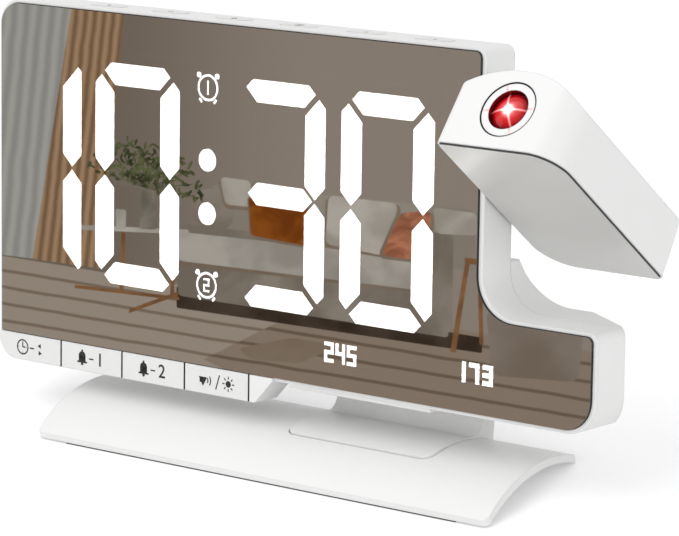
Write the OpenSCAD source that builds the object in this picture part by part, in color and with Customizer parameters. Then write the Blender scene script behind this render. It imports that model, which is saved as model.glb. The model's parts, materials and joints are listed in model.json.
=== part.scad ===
// Mirror-faced alarm clock with a tilting projector head, on an arched stand.
// Millimetres, +Z up. The origin is on the table, under the middle of the front foot strip.

/* [Stand] */
// Width of the arched base plate
base_w = 150.3; // [120:0.1:175]
// Depth of the base plate, front edge to rear edge
base_d = 39.2; // [34:0.1:44]
// Thickness of the base plate
base_t = 2.1; // [1.8:0.1:2.6]
// Height of the top of the arch above the table
arch_top = 7.3; // [6.6:0.1:8.5]
// Radius of the base plate's corners in plan
base_corner_r = 1.6; // [0.8:0.1:4]
// Width of the neck's tongue at its front
tongue_w = 46.8; // [36:0.2:52]
// How much wider the neck is at the rear than at the front of the tongue, per side
neck_flare = 0.4; // [0:0.1:3]
// Distance from the front edge of the base to the tongue
tongue_setback = 15.3; // [12:0.1:18]
// Depth of the recess that the tongue lies in
tongue_recess = 1.0; // [0.6:0.1:1.2]
// How far the tongue stands proud of the base
tongue_proud = 0.4; // [0.2:0.1:0.8]
// Radius of the concave front of the neck
neck_hollow_r = 4; // [3:0.1:4.6]
// Thickness of the neck behind its hollow
neck_wall = 4.9; // [3.5:0.1:6]
// Distance of the neck's middle from the clock's middle
neck_shift = 25.1; // [15:0.1:30]
// Thickness of the flange under the clock
flange_t = 1.3; // [1:0.1:1.8]
// Thickness of the rubber foot strips
foot_t = 0.5; // [0.4:0.1:1]
// Width of the rubber foot strips
foot_w = 3; // [2:0.1:4]

/* [Case] */
// Angle by which the clock leans back
lean = 15.2; // [10:0.1:20]
// Height of the case's bottom front edge above the table
case_h0 = 20; // [18:0.1:24]
// Distance of the case's bottom front edge behind the middle of the base
case_y_offset = -1.9; // [-4:0.1:1]
// How far the stand sits to the right of the clock's middle
stand_shift = 1.5; // [0:0.1:6]
// Width of the case
body_w = 199; // [190:1:220]
// Height of the case
body_h = 92; // [88:0.5:100]
// Height of the low arm, right of the notch
arm_h = 25.7; // [22:0.1:27]
// Depth of the upper part
depth_upper = 12; // [12:0.1:14]
// Depth of the low rear housing
depth_lower = 26; // [25:0.1:30]
// Depth at which the rear housing steps out
step_y = 15.6; // [14:0.1:18]
// Height of that step
step_z = 38.1; // [36:0.1:42]
// Height at which the rear housing reaches its full depth
slope_z = 23; // [20:0.1:28]
// Wall thickness of the case
wall = 2; // [1.6:0.1:2.2]
// Rim of the case around the mirror
rim = 1; // [0.6:0.1:1.4]
// Rim of the case to the right of the mirror
side_rim = 1.6; // [1:0.1:1.8]
// Top left corner radius
tl_r = 7; // [4:0.1:10]
// Top right corner radius
tr_r = 2.6; // [2.2:0.1:5]
// Bottom right corner radius
br_r = 9; // [5:0.1:10]
// Radius inside the notch
notch_r = 10; // [6:0.1:12]
// Thickness of the mirror panel
mirror_t = 1.5; // [1:0.1:2]
// How far the mirror stands in front of the rim
mirror_proud = 0.7; // [0.3:0.1:1]
// Thickness of the plate behind the mirror
plate_t = 1.2; // [1:0.1:1.6]
// Thickness of the rear cover
cover_t = 1.4; // [1.2:0.1:1.5]

/* [Display] */
// Height of the digits' feet above the bottom of the case
digit_z = 18.4; // [17.5:0.1:22]
// Distance of the digits' tops below the top of the case
digit_top = 14.4; // [12:0.1:18]
// Distance of the first digit's cell from the left end of the case; its left half stays empty
digit_left = -0.8; // [-2:0.1:4]
// Distance of the last digit from the right side of the tall part
digit_right = 16.5; // [13:0.1:18]
// Gap between the digits of a pair
digit_gap = 5.2; // [4.6:0.1:7]
// Gap between the pairs, where the colon stands
colon_gap = 19.5; // [17:0.1:21]
// Stroke of the upright segments
stroke_v = 6.6; // [5:0.1:7.5]
// Stroke of the level segments
stroke_h = 5.8; // [4.5:0.1:6.5]
// Cut across the digits' outer corners
digit_chamfer = 5.5; // [4:0.1:7]
// Distance of the middle segment's tips from the digit's sides
middle_inset = 4.2; // [3.8:0.1:5]
// Gap between segments
segment_gap = 1.2; // [0.8:0.1:1.6]
// Distance of the small right-hand numerals from the right end of the case
date_right = 43.7; // [38:0.1:48]
// Height of the small numerals
date_h = 5.2; // [4:0.1:5.4]
// Radius of the colon's dots
colon_r = 2.95; // [2:0.05:3.5]
// Depth of the reflector block
mask_d = 4.4; // [3.6:0.1:4.8]
// Thickness of the circuit boards
board_t = 1; // [0.8:0.1:1.2]

/* [Keys] */
// Height of the key strip below the case
strip_h = 6.5; // [6:0.1:7]
// Depth of the key strip
strip_d = 9; // [8.8:0.1:10]
// Width of the key strip
strip_w = 97.5; // [95:0.1:100]
// Run of its slanted end
strip_slant = 6; // [3:0.1:8]
// Number of front keys
key_count = 4; // [4]
// Distance from one front key to the next
key_pitch = 22.15; // [20:0.05:22.5]
// Gap between the front keys
key_gap = 0.5; // [0.3:0.1:0.8]
// Thickness of the front keys
key_t = 2; // [1.5:0.1:2]
// Travel of all keys
key_travel = 0.35; // [0.2:0.05:0.4]
// Number of top keys
top_key_count = 6; // [6]
// Width of the top keys
top_key_w = 11; // [8:0.1:13]
// Depth of the top keys
top_key_d = 4.6; // [4:0.1:5]
// Distance of the first top key from the left end of the case
top_key_x = 34.6; // [30:0.1:38]
// Distance of the last top key from the right side of the tall part
top_key_right = 20.4; // [18:0.1:30]

/* [Projector head] */
// Tilt of the head in front of upright
head_tilt = 53.2; // [0:0.1:80]
// Width of the head
head_w = 35.4; // [34:0.1:38]
// How far the head stands out past the right end of the case
head_out = 0.9; // [0:0.1:1.5]
// Gap between case and head
head_gap = 0.5; // [0.4:0.05:1]
// Distance of the head's lens end from the hinge axis
head_up = 29; // [27:0.1:31]
// Distance of the head's lower front edge from the hinge axis
head_down = 30.6; // [28:0.1:32]
// Slant of the head's lower end
end_rake = 8; // [0:0.5:12]
// Distance of the lens axis from the head's inner side
lens_x = 16.8; // [16:0.1:18]
// Depth of the head at its inner side
head_edge_d = 16.5; // [16:0.1:18]
// Depth of the head at the lens axis
head_d = 22; // [21:0.1:23.5]
// Wall thickness of the head
head_wall = 1.8; // [1.5:0.1:2]
// Lens end corner radius
head_tr_r = 9; // [4:0.1:10]
// Lens end inner corner radius
head_tl_r = 1.8; // [1:0.1:3]
// Lower inner corner radius
head_bl_r = 10; // [6:0.1:12]
// Distance of the hinge axis behind the case's mirror
pivot_y = 7.4; // [7.2:0.1:7.5]
// Distance of the hinge axis behind the head's mirror
head_pivot_y = 8.4; // [7.6:0.1:9]
// Height of the hinge axis above the bottom of the case
pivot_z = 60.5; // [58:0.1:62]
// Radius of the hinge shaft
shaft_r = 2.2; // [2:0.05:2.4]
// Distance of the lens axis behind the head's mirror
lens_y = 11.2; // [10.9:0.1:11.6]
// Radius of the focus ring
ring_r = 7.25; // [6.8:0.05:7.4]
// Radius of the opening for the lens
lens_r = 5.4; // [4.8:0.05:5.5]

/* [Clearances] */
// Gap around parts that are glued or snapped in
fit_gap = 0.1; // [0.05:0.01:0.15]
// Radial clearance of the turning fits
run_gap = 0.05; // [0.02:0.01:0.08]
// Gap round the focus ring
ring_gap = 0.35; // [0.2:0.05:0.4]
// Gap between keys and their openings
key_clear = 0.2; // [0.1:0.05:0.3]

/* [Hidden] */
$fn = 64;
FRONT_KEYS = ["key_1", "key_2", "key_3", "key_4"];
TOP_KEYS = ["top_key_1", "top_key_2", "top_key_3", "top_key_4", "top_key_5", "top_key_6"];
eps = 0.01;

// ---- stand ----
foot_inset = 0.3;
base_y0 = -foot_w / 2 - foot_inset;
base_yc = base_y0 + base_d / 2;
arch_sag = arch_top - base_t;
arch_r = (pow(base_d / 2, 2) + pow(arch_sag, 2)) / (2 * arch_sag);
arch_zc = arch_top - arch_r;
rail_h = 1.2;
rail_w = foot_w + 0.7;
foot_len = base_w - 20;
tongue_y0 = base_y0 + tongue_setback;
tongue_corner_r = 3;
groove = 0.3;
neck_w = tongue_w + 2 * neck_flare;
neck_x = neck_shift - stand_shift;
hollow_y = base_y0 + base_d - 5;
hollow_z = arch_zc + sqrt(pow(arch_r + tongue_proud + neck_hollow_r - 0.03, 2) - pow(hollow_y - base_yc, 2));
neck_front_y = hollow_y + neck_hollow_r - 0.05;
neck_rear_y = neck_front_y + neck_wall;
heel_z = foot_t + 0.25;
heel_y = neck_rear_y - 2.2;
heel_top = heel_z + 5.8;
neck_screw_y = base_yc + 6;
neck_screw_dx = tongue_w / 2 - 7;
neck_boss_r = 3;

// ---- case ----
upper_w = body_w + head_out - head_w - head_gap;
case_x = -body_w / 2 - stand_shift;
case_y = base_yc + case_y_offset;
rim_y = mirror_proud;
plate_back = mirror_t + plate_t;
cover_y = depth_upper - cover_t;
seam = 0.05;
bulge_taper = 21;
bulge_taper_d = depth_lower - depth_upper;
lip_t = 1.4;
lip_d = 1.8;
case_screw_r = 1.1;
case_boss_r = 2.6;
case_screw_at = [
  [7.6, body_h - 9], [upper_w - 6, body_h - 9], [7.6, step_z + 6], [upper_w - 6, step_z + 6]
];

// ---- display ----
mask_y = mirror_t + fit_gap;
mask_back = mask_y + mask_d;
digit_w = (upper_w - digit_left - digit_right - 2 * digit_gap - colon_gap) / 4;
digit_h = body_h - digit_z - digit_top;
digit_pitch = digit_w + digit_gap;
hours_x = digit_left + digit_pitch;
minutes_x = hours_x + digit_w + colon_gap;
digit_mid = digit_h / 2;
colon_x = (hours_x + digit_w + minutes_x) / 2;
colon_dz = 7.05;
icon_r = 3.5;
icon_stroke = 0.55;
icon_dz = digit_mid - icon_r - 0.1;
window_x = [hours_x - digit_pitch + digit_w - stroke_v - 4, minutes_x + digit_pitch + digit_w + 3];
window_z = [digit_z - 3, digit_z + digit_h + 3];
date_z = [7.2, 8.1];
date_step = [3.7, 4.2];
date_stroke = [0.9, 1.15];
date_numbers = [[2, 4, 5], [1, 7, 3]];
date_x = [minutes_x + digit_w + 0.6, body_w - date_right];
date_window_z = [date_z[0] - 1.6, window_z[0] + 0.6];
date_window_x1 = date_x[1] + 15;
mask_lip = 1.6;
board_y = mask_back + 0.05;
segment_t = 1;
led_h = 0.8;

// ---- rear housing contents ----
post_r = 2.4;
main_y = depth_upper + 0.9;
main_x = [10, body_w - 49];
main_z = [4, 33];
main_post_at = [[16, 29], [100, 29], [16, 8], [main_x[1] - 6, 29]];
cap_x = [92, 98];
cap_h = 7;
cap_r = 2.2;
cell_r = 10;
cell_t = 3.2;
cell_x = 74;
cell_z = 12.8;
door_w = 27;
door_h = 20.4;
door_t = 1.4;
door_y = depth_lower - door_t;
jack_x = 36;
jack_z = 12;
jack_w = 9;
jack_r = 2.9;
speaker_r = 9.4;
speaker_x = body_w - 72;
speaker_z = 12.6;
speaker_t = 4.6;
flange_screw_x = [neck_mid_local() - 15.5, neck_mid_local() + 15.5];
flange_screw_y = 17;
flange_screw_len = 7;

// ---- keys ----
key_y = 0.1;
key_top = rim - 0.25;
pod_y = key_y + key_t + key_travel + 0.25;
pod_wall = 1.2;
stem_w = 4.6;
stem_h = 2.6;
key_x0 = 0.85;
strip_r = 6.3;
switch_w = 4.4;
switch_h = 1.6;
plunger_r = 1;
plunger_h = 0.4;
key_board_y = strip_d - pod_wall + fit_gap - board_t - 0.2;
stem_end = key_board_y - switch_h - plunger_h - key_travel - 0.05;
top_y = 6.2;
top_pitch = (upper_w - top_key_right - top_key_x) / (top_key_count - 1);
top_flange_t = 1.2;
top_proud = 0.1;
top_flange_z = body_h - wall - fit_gap - top_flange_t;
top_board_z = top_flange_z - key_travel - 0.05 - plunger_h - switch_h - board_t;

// ---- projector head ----
head_x0 = upper_w + head_gap;
head_x1 = head_x0 + head_w;
head_xc = head_x0 + lens_x;
head_z0 = pivot_z - head_down;
head_z1 = pivot_z + head_up;
head_rim_y = 0.5;
head_mirror_t = 1.2;
head_cover_t = 1.5;
head_rim = 0.6;
dome_sag = head_d - head_edge_d;
dome_r = (pow(lens_x, 2) + pow(dome_sag, 2)) / (2 * dome_sag);
dome_yc = head_d - dome_r;
ring_hole_r = ring_r + ring_gap;
barrel_r = ring_r - 1;
barrel_wall = 1.1;
ring_z1 = head_z1 - 0.15;
ring_len = 9;
ring_lip = 1.5;
barrel_z1 = ring_z1 - ring_lip - 2.2;
engine_w = 13;
engine_d = 12.6;
engine_z = [pivot_z - 17, pivot_z + 1.5];
engine_wall = 1.3;
engine_flange = 1.2;
cover_screw_at = [
  [head_x0 + 5.2, head_z1 - 6], [head_x0 + 5.4, pivot_z - 13], [head_x1 - 5.2, head_z0 + 7]
];
cover_boss_r = 2;
bush_r = shaft_r + 0.9;
bush_flange = 0.4;
washer_r = bush_r;
clip_t = 0.9;
washer_t = 0.7;

// Height of the base plate's top surface at a given depth
function arch_z(y) = arch_zc + sqrt(pow(arch_r, 2) - pow(y - base_yc, 2));
// Middle of the neck along the case, from its left end
function neck_mid_local() = neck_x - case_x;

// ---- places ----
module in_case() {
  translate([case_x, case_y, case_h0]) rotate([-lean, 0, 0]) children();
}
module in_head() {
  in_case() translate([0, pivot_y, pivot_z]) rotate([head_tilt, 0, 0])
    translate([0, -head_pivot_y, -pivot_z]) children();
}
// Extrudes an X-Z outline from y0 to y1
module along_y(y0, y1) {
  translate([0, y1, 0]) rotate([90, 0, 0]) linear_extrude(y1 - y0) children();
}
// Extrudes a Y-Z outline from x0 to x1
module along_x(x0, x1) {
  translate([x0, 0, 0]) rotate([90, 0, 90]) linear_extrude(x1 - x0) children();
}
module rod_x(x0, x1, r) {
  translate([x0, 0, 0]) rotate([0, 90, 0]) cylinder(h = x1 - x0, r = r);
}
module rod_y(y0, y1, r) {
  translate([0, y0, 0]) rotate([-90, 0, 0]) cylinder(h = y1 - y0, r = r);
}
module block(x, y, z) {
  translate([x[0], y[0], z[0]]) cube([x[1] - x[0], y[1] - y[0], z[1] - z[0]]);
}
// A screw that points along +Z, its head below the origin
module screw(head_r, head_h, shank_r, length) {
  difference() {
    translate([0, 0, -head_h]) cylinder(h = head_h, r = head_r);
    for (a = [0, 90]) rotate(a) translate([0, 0, -head_h])
      cube([head_r * 1.2, 0.5, 1], center = true);
  }
  cylinder(h = length, r = shank_r);
}

// ---- outlines ----
// What is taken away to round a corner; sx and sz point into the outline
module corner_cut(x, z, r, sx, sz) {
  translate([x, z]) scale([sx, sz]) difference() {
    translate([-eps, -eps]) square(r + eps);
    translate([r, r]) circle(r);
  }
}
// The face of the case, inset by i, and by j at its right-hand sides
module face_shape(i, j) {
  low = 0.3;
  hollow_r = notch_r + i;
  difference() {
    union() {
      translate([i, i]) square([upper_w - i - j, body_h - 2 * i]);
      translate([i, i]) square([body_w - i - j, arm_h - 2 * i]);
      translate([upper_w - j, arm_h - i]) difference() {
        translate([-eps, -eps]) square(hollow_r + eps);
        translate([hollow_r, hollow_r]) circle(hollow_r);
      }
    }
    corner_cut(i, body_h - i, max(tl_r - i, low), 1, -1);
    corner_cut(upper_w - j, body_h - i, max(tr_r - i, low), -1, -1);
    corner_cut(body_w - j, arm_h - i, max(tr_r - i, low), -1, -1);
    corner_cut(body_w - j, i, max(br_r - i, low), -1, 1);
  }
}
// The key strip below the case, up to height top
module strip_shape(top) {
  difference() {
    polygon([[0, top], [0, -strip_h], [strip_w - strip_slant, -strip_h], [strip_w, 0], [strip_w, top]]);
    corner_cut(0, -strip_h, strip_r, 1, 1);
  }
}
// The head's outline from y0 to y1, inset by i: square at the lens end, slanted at the lower end
module head_block(i, y0, y1) {
  low = 0.3;
  intersection() {
    along_y(y0, y1) difference() {
      translate([head_x0 + i, head_z0]) square([head_w - 2 * i, head_z1 - i - head_z0]);
      corner_cut(head_x0 + i, head_z1 - i, max(head_tl_r - i, low), 1, -1);
      corner_cut(head_x1 - i, head_z1 - i, max(head_tr_r - i, low), -1, -1);
    }
    translate([0, 0, head_z0]) rotate([end_rake, 0, 0]) translate([0, 0, -head_z0])
      along_y(y0 - 5, y1 + 12) difference() {
        translate([head_x0 + i, head_z0 + i]) square([head_w - 2 * i, head_z1 - head_z0 + 10]);
        corner_cut(head_x1 - i, head_z0 + i, max(2 - i, low), -1, 1);
        corner_cut(head_x0 + i, head_z0 + i, max(head_bl_r - i, low), 1, 1);
      }
  }
}
// The head as a solid with its domed back, inset by i, from depth y0
module head_solid(i, y0) {
  intersection() {
    head_block(i, y0, head_d + 1);
    translate([head_xc, dome_yc, head_z0 - 1]) cylinder(h = head_z1 - head_z0 + 2, r = dome_r - i, $fn = 96);
  }
}
// The low rear housing, inset by i, from depth y0 back
module rear_solid(i, y0) {
  intersection() {
    along_y(y0, depth_lower + 1) face_shape(i, i);
    along_x(-1, body_w + 1) polygon([
      [y0 - 1, i], [y0 - 1, step_z - i], [step_y - i * 0.4, step_z - i],
      [depth_lower - i, slope_z - i * 0.2], [depth_lower - i, i]
    ]);
    linear_extrude(body_h * 2, center = true) polygon([
      [i, y0 - 1], [i, depth_upper - i * 0.3], [bulge_taper, depth_lower - i],
      [body_w - bulge_taper, depth_lower - i], [body_w - i, depth_upper - i * 0.3], [body_w - i, y0 - 1]
    ]);
  }
}

// ---- stand ----
// Plan of the tongue, grown by g
module tongue_plan(g) {
  r = tongue_corner_r + g;
  x = tongue_w / 2 - tongue_corner_r;
  y = tongue_y0 + tongue_corner_r;
  rear = base_y0 + base_d + 1;
  translate([neck_x, 0]) {
    for (s = [-1, 1]) translate([s * x, y]) circle(r);
    polygon([
      [-x, y - r], [x, y - r], [x + r, y], [neck_w / 2 + g, rear], [neck_w / 2 + g, rear + 12],
      [-neck_w / 2 - g, rear + 12], [-neck_w / 2 - g, rear], [-x - r, y]
    ]);
  }
}
module base_plan() {
  difference() {
    translate([-base_w / 2, base_y0]) square([base_w, base_d]);
    for (sx = [-1, 1], sy = [-1, 1])
      corner_cut(sx * base_w / 2, base_yc + sy * base_d / 2, base_corner_r, -sx, -sy);
  }
}
module arch_rod(r) {
  translate([0, base_yc, arch_zc]) rod_x(-base_w / 2 - 1, base_w / 2 + 1, r, $fn = 180);
}
module base_plate() color("white") difference() {
  intersection() {
    union() {
      difference() {
        arch_rod(arch_r);
        arch_rod(arch_r - base_t);
      }
      for (y = [base_y0 + 0.3, base_y0 + base_d - rail_w - 0.3])
        block([-foot_len / 2 - 1, foot_len / 2 + 1], [y, y + rail_w], [foot_t, foot_t + rail_h]);
    }
    translate([0, 0, foot_t]) linear_extrude(arch_top) base_plan();
  }
  difference() {
    linear_extrude(arch_top * 3, center = true) tongue_plan(groove);
    arch_rod(arch_r - tongue_recess);
  }
  for (s = [-1, 1]) translate([neck_x + s * neck_screw_dx, neck_screw_y, 0])
    cylinder(h = arch_top * 2, r = neck_boss_r + fit_gap);
}
module foot_strips() color("dimgray") {
  for (y = [0, base_d - foot_w - 2 * foot_inset])
    block([-foot_len / 2, foot_len / 2], [y - foot_w / 2, y + foot_w / 2], [0, foot_t]);
}
// Side view of the neck: the tongue's band, the concave front and the heel behind the base plate
module neck_profile() {
  rear = base_y0 + base_d;
  mid = tongue_recess / 2;
  intersection() {
    difference() {
      translate([base_yc, arch_zc]) circle(arch_r + tongue_proud);
      translate([base_yc, arch_zc]) circle(arch_r - tongue_recess);
    }
    translate([base_y0, 0]) square([base_d, arch_top * 2]);
  }
  difference() {
    polygon([
      [hollow_y - 2, arch_z(hollow_y - 2) - mid], [rear - 0.2, arch_z(rear - 0.2) - mid],
      [rear + 0.3, arch_z(rear - 0.2) - mid], [rear + 0.3, heel_z], [heel_y, heel_z],
      [neck_rear_y, heel_top], [neck_rear_y, case_h0], [neck_front_y, case_h0],
      [neck_front_y, hollow_z], [hollow_y - 2, hollow_z]
    ]);
    translate([hollow_y, hollow_z]) circle(neck_hollow_r);
  }
}
module neck() color("white") difference() {
  union() {
    difference() {
      intersection() {
        along_x(neck_x - neck_w, neck_x + neck_w) neck_profile();
        linear_extrude(arch_top * 3) tongue_plan(0);
      }
      in_case() block([-50, body_w + 50], [-50, 50], [-flange_t / 2, 50]);
    }
    in_case() block([neck_mid_local() - tongue_w / 2 + 0.5, neck_mid_local() + tongue_w / 2 - 0.5],
      [2, depth_lower + 0.2], [-flange_t, 0]);
    for (s = [-1, 1]) translate([neck_x + s * neck_screw_dx, neck_screw_y, foot_t + 0.6])
      cylinder(h = arch_z(neck_screw_y) - foot_t - 0.7, r = neck_boss_r);
  }
  for (s = [-1, 1]) translate([neck_x + s * neck_screw_dx, neck_screw_y, 0])
    cylinder(h = arch_z(neck_screw_y) - 0.6, r = 1 + fit_gap);
  for (x = flange_screw_x) in_case() translate([x, flange_screw_y, -flange_t - 1])
    cylinder(h = flange_t + 2, r = case_screw_r + fit_gap);
}
module neck_screws() color("silver")
  for (s = [-1, 1]) translate([neck_x + s * neck_screw_dx, neck_screw_y, foot_t + 0.6])
    screw(2.6, 0.9, 1, 3);
module flange_screws() color("silver")
  for (x = flange_screw_x) in_case() translate([x, flange_screw_y, -flange_t])
    screw(case_screw_r * 2, 1.1, case_screw_r, flange_screw_len);

// ---- case ----
module display_window(grow) {
  translate([window_x[0] - grow, window_z[0] - grow])
    square([window_x[1] - window_x[0] + 2 * grow, window_z[1] - window_z[0] + 2 * grow]);
  translate([window_x[0] - grow, date_window_z[0] - grow])
    square([date_window_x1 - window_x[0] + 2 * grow, date_window_z[1] - date_window_z[0] + 2 * grow]);
}
module front_shell() color("white") in_case() difference() {
  union() {
    difference() {
      union() {
        along_y(rim_y, depth_upper) face_shape(0, 0);
        along_y(pod_y, strip_d) strip_shape(eps);
        intersection() {
          along_y(key_y, strip_d) strip_shape(key_top);
          block([key_split(key_count) + key_gap / 2, strip_w], [0, strip_d], [-strip_h, key_top]);
        }
      }
      along_y(-1, mirror_t) face_shape(rim - fit_gap, side_rim - fit_gap);
      along_y(plate_back, depth_upper + 1) face_shape(wall, wall);
      block([-1, key_split(key_count) + key_gap / 2], [-1, pod_y], [-strip_h - 1, rim - fit_gap]);
      block([strip_r, key_split(key_count) - pod_wall], [pod_y + pod_wall, strip_d - pod_wall],
        [-strip_h + pod_wall, wall + eps]);
    }
    for (p = case_screw_at) translate([p[0], 0, p[1]])
      rod_y(plate_back - eps, cover_y - fit_gap, case_boss_r);
  }
  along_y(-1, plate_back + 1) display_window(fit_gap);
  for (k = [1:key_count]) translate([key_mid(k), pod_y, key_stem_z()])
    cube([stem_w + 2 * key_clear, 6, stem_h + 2 * key_clear], center = true);
  for (k = [1:top_key_count]) translate([top_mid(k), top_y, body_h - wall - 1]) top_pill(wall + 2, key_clear);
  for (p = case_screw_at) translate([p[0], 0, p[1]])
    rod_y(plate_back + 1, depth_upper, case_screw_r);
  translate([0, pivot_y, pivot_z]) rod_x(upper_w - wall - 1, upper_w + 1, bush_r + 0.02);
}
module rear_shell() color("white") in_case() difference() {
  union() {
    intersection() {
      along_y(cover_y, depth_upper) face_shape(wall + fit_gap, wall + fit_gap);
      block([0, body_w], [0, depth_upper], [step_z - 3, body_h]);
    }
    difference() {
      rear_solid(0, depth_upper + seam);
      rear_solid(wall, depth_upper - 1);
    }
    difference() {
      along_y(depth_upper - lip_d, depth_upper + seam + eps) intersection() {
        face_shape(wall + fit_gap, wall + fit_gap);
        square([body_w, step_z]);
      }
      along_y(0, depth_upper + 1) intersection() {
        face_shape(wall + lip_t + fit_gap, wall + lip_t + fit_gap);
        square([body_w, step_z - 3]);
      }
    }
    intersection() {
      rear_solid(wall / 2, depth_upper);
      union() {
        for (p = main_post_at) translate([p[0], 0, p[1]]) rod_y(main_y + board_t, depth_lower, post_r);
        for (x = flange_screw_x) translate([x, flange_screw_y, wall / 2]) cylinder(h = 7, r = post_r);
      }
    }
  }
  for (p = case_screw_at) translate([p[0], 0, p[1]]) {
    rod_y(cover_y - 1, depth_upper + 1, case_screw_r + fit_gap);
    rod_y(depth_upper - 0.7, depth_upper + 1, 2.3);
  }
  for (x = flange_screw_x) translate([x, flange_screw_y, -1]) cylinder(h = 7.4, r = case_screw_r);
  block([cell_x - door_w / 2 - fit_gap, cell_x + door_w / 2 + fit_gap], [door_y, depth_lower + 1],
    [cell_z - door_h / 2 - fit_gap, cell_z + door_h / 2 + fit_gap]);
  block([cell_x - cell_r - 1.4, cell_x + cell_r + 1.4], [depth_upper, depth_lower + 1],
    [cell_z - door_h / 2 + 1, cell_z + door_h / 2 - 1]);
  translate([cell_x + door_w / 2 - 1.7 - fit_gap, 0, cell_z]) rod_y(depth_lower - 4, depth_lower, 0.8);
  translate([jack_x, 0, jack_z]) rod_y(depth_upper, depth_lower + 1, jack_r + fit_gap);
  for (n = [-3:3]) translate([speaker_x, 0, speaker_z]) {
    half = sqrt(pow(speaker_r - 1.5, 2) - pow(n * 2.2, 2));
    block([-half, half], [depth_lower - wall - 1, depth_lower + 1], [n * 2.2 - 0.5, n * 2.2 + 0.5]);
  }
}
module case_screws() color("silver") in_case()
  for (p = case_screw_at) translate([p[0], depth_upper - 0.7, p[1]]) rotate([90, 0, 0])
    translate([0, 0, 0]) screw_back(2.1, 0.6, case_screw_r, 6);
// A screw whose head is above the origin and whose shank points down
module screw_back(head_r, head_h, shank_r, length) {
  rotate([180, 0, 0]) mirror([0, 0, 1]) translate([0, 0, 0]) union() {
    difference() {
      translate([0, 0, -head_h]) cylinder(h = head_h, r = head_r);
      for (a = [0, 90]) rotate(a) translate([0, 0, -head_h]) cube([head_r * 1.2, 0.5, 0.7], center = true);
    }
    cylinder(h = length, r = shank_r);
  }
}
module mirror_panel() color("dimgray") in_case() along_y(0, mirror_t) face_shape(rim, side_rim);

// ---- display ----
// Level segment at the foot or top of a digit: points from its left end, depth d measured inwards
function level_pts(c, chamfer) = let (
    k = chamfer - c * sqrt(2), m = segment_gap - c * sqrt(2), h = stroke_h + c
  ) [[k + c, -c], [(k + m) / 2, (k - m) / 2], [h + m, h],
    [digit_w - h - m, h], [digit_w - (k + m) / 2, (k - m) / 2], [digit_w - k - c, -c]];
// Upright segment of the left column, depth measured from the digit's top
function upright_pts(c, chamfer) = let (
    k = chamfer - c * sqrt(2), m = segment_gap - c * sqrt(2), v = stroke_v, tip = digit_mid - 0.5 + c * sqrt(2)
  ) [[-c, k + c], [(k - m) / 2, (k + m) / 2], [v + c, v + c + m],
    [v + c, tip - v / 2 - c], [v / 2, tip], [-c, tip - v / 2 - c]];
// Middle segment
function middle_pts(c) = let (h = stroke_h / 2 + c, x = middle_inset - c * sqrt(2))
  [[x, digit_mid], [x + h, digit_mid + h], [digit_w - x - h, digit_mid + h],
   [digit_w - x, digit_mid], [digit_w - x - h, digit_mid - h], [x + h, digit_mid - h]];
function flip_z(pts) = [for (p = pts) [p[0], digit_h - p[1]]];
function flip_x(pts) = [for (p = pts) [digit_w - p[0], p[1]]];
// Segments a to g, in that order
function segment_pts(s, c, chamfer) =
  s == 0 ? flip_z(level_pts(c, chamfer)) :
  s == 1 ? flip_x(flip_z(upright_pts(c, chamfer))) :
  s == 2 ? flip_x(upright_pts(c, chamfer)) :
  s == 3 ? level_pts(c, chamfer) :
  s == 4 ? upright_pts(c, chamfer) :
  s == 5 ? flip_z(upright_pts(c, chamfer)) : middle_pts(c);
digit_x = [hours_x - digit_pitch, hours_x, minutes_x, minutes_x + digit_pitch];
// The first digit has only its two right-hand segments
digit_segments = [[1, 2], [0:6], [0:6], [0:6]];
digit_lit = [[1, 2], [0, 1, 2, 3, 4, 5], [0, 1, 2, 3, 6], [0, 1, 2, 3, 4, 5]];
digit_chamfers = [3.4, digit_chamfer, digit_chamfer, digit_chamfer];
module segments(c, want_lit, want_off) {
  for (d = [0:3], s = digit_segments[d]) {
    lit = len(search(s, digit_lit[d])) > 0;
    if ((lit && want_lit) || (!lit && want_off))
      translate([digit_x[d], digit_z]) polygon(segment_pts(s, c, digit_chamfers[d]));
  }
}
// Strokes of the small numerals: each is [x, z, width, height] on a 2 by 4 grid
small_strokes = [[0, 4, 2, 0], [2, 2, 0, 2], [2, 0, 0, 2], [0, 0, 2, 0], [0, 0, 0, 2], [0, 2, 0, 2], [0, 2, 2, 0]];
small_digits = [[0, 1, 2, 3, 4, 5], [1, 2], [0, 1, 3, 4, 6], [0, 1, 2, 3, 6], [1, 2, 5, 6],
  [0, 2, 3, 5, 6], [0, 2, 3, 4, 5, 6], [0, 1, 2], [0, 1, 2, 3, 4, 5, 6], [0, 1, 2, 3, 5, 6]];
module small_numeral(n, h, w) {
  u = (h - w) / 4;
  for (s = small_digits[n]) {
    q = small_strokes[s];
    translate([q[0] * u, q[1] * u]) square([q[2] * u + w, q[3] * u + w]);
  }
}
module alarm_icon(n, c) {
  difference() {
    circle(icon_r + c);
    circle(icon_r - icon_stroke - c);
  }
  for (s = [-1, 1]) {
    translate([s * (icon_r - 0.4), icon_r - 0.3]) circle(0.75 + c);
    translate([s * (icon_r - 1), -icon_r + 0.1]) rotate(s * -40)
      translate([-0.3 - c, -0.7 - c]) square([0.6 + 2 * c, 1.3 + 2 * c]);
  }
  h = 3.6;
  translate([n == 1 ? -1.8 - c : -1.05 - c, -h / 2 - c]) small_numeral(n, h + 2 * c, 0.5 + 2 * c);
}
module symbols(c) {
  for (s = [-1, 1]) {
    translate([colon_x, digit_z + digit_mid + s * colon_dz]) circle(colon_r + c);
    translate([colon_x, digit_z + digit_mid + s * icon_dz]) alarm_icon(s > 0 ? 1 : 2, c);
  }
  for (w = [0, 1], n = [0:2]) translate([date_x[w] + n * date_step[w] - c, date_z[w] - c])
    small_numeral(date_numbers[w][n], date_h + 2 * c, date_stroke[w] + 2 * c);
}
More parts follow.
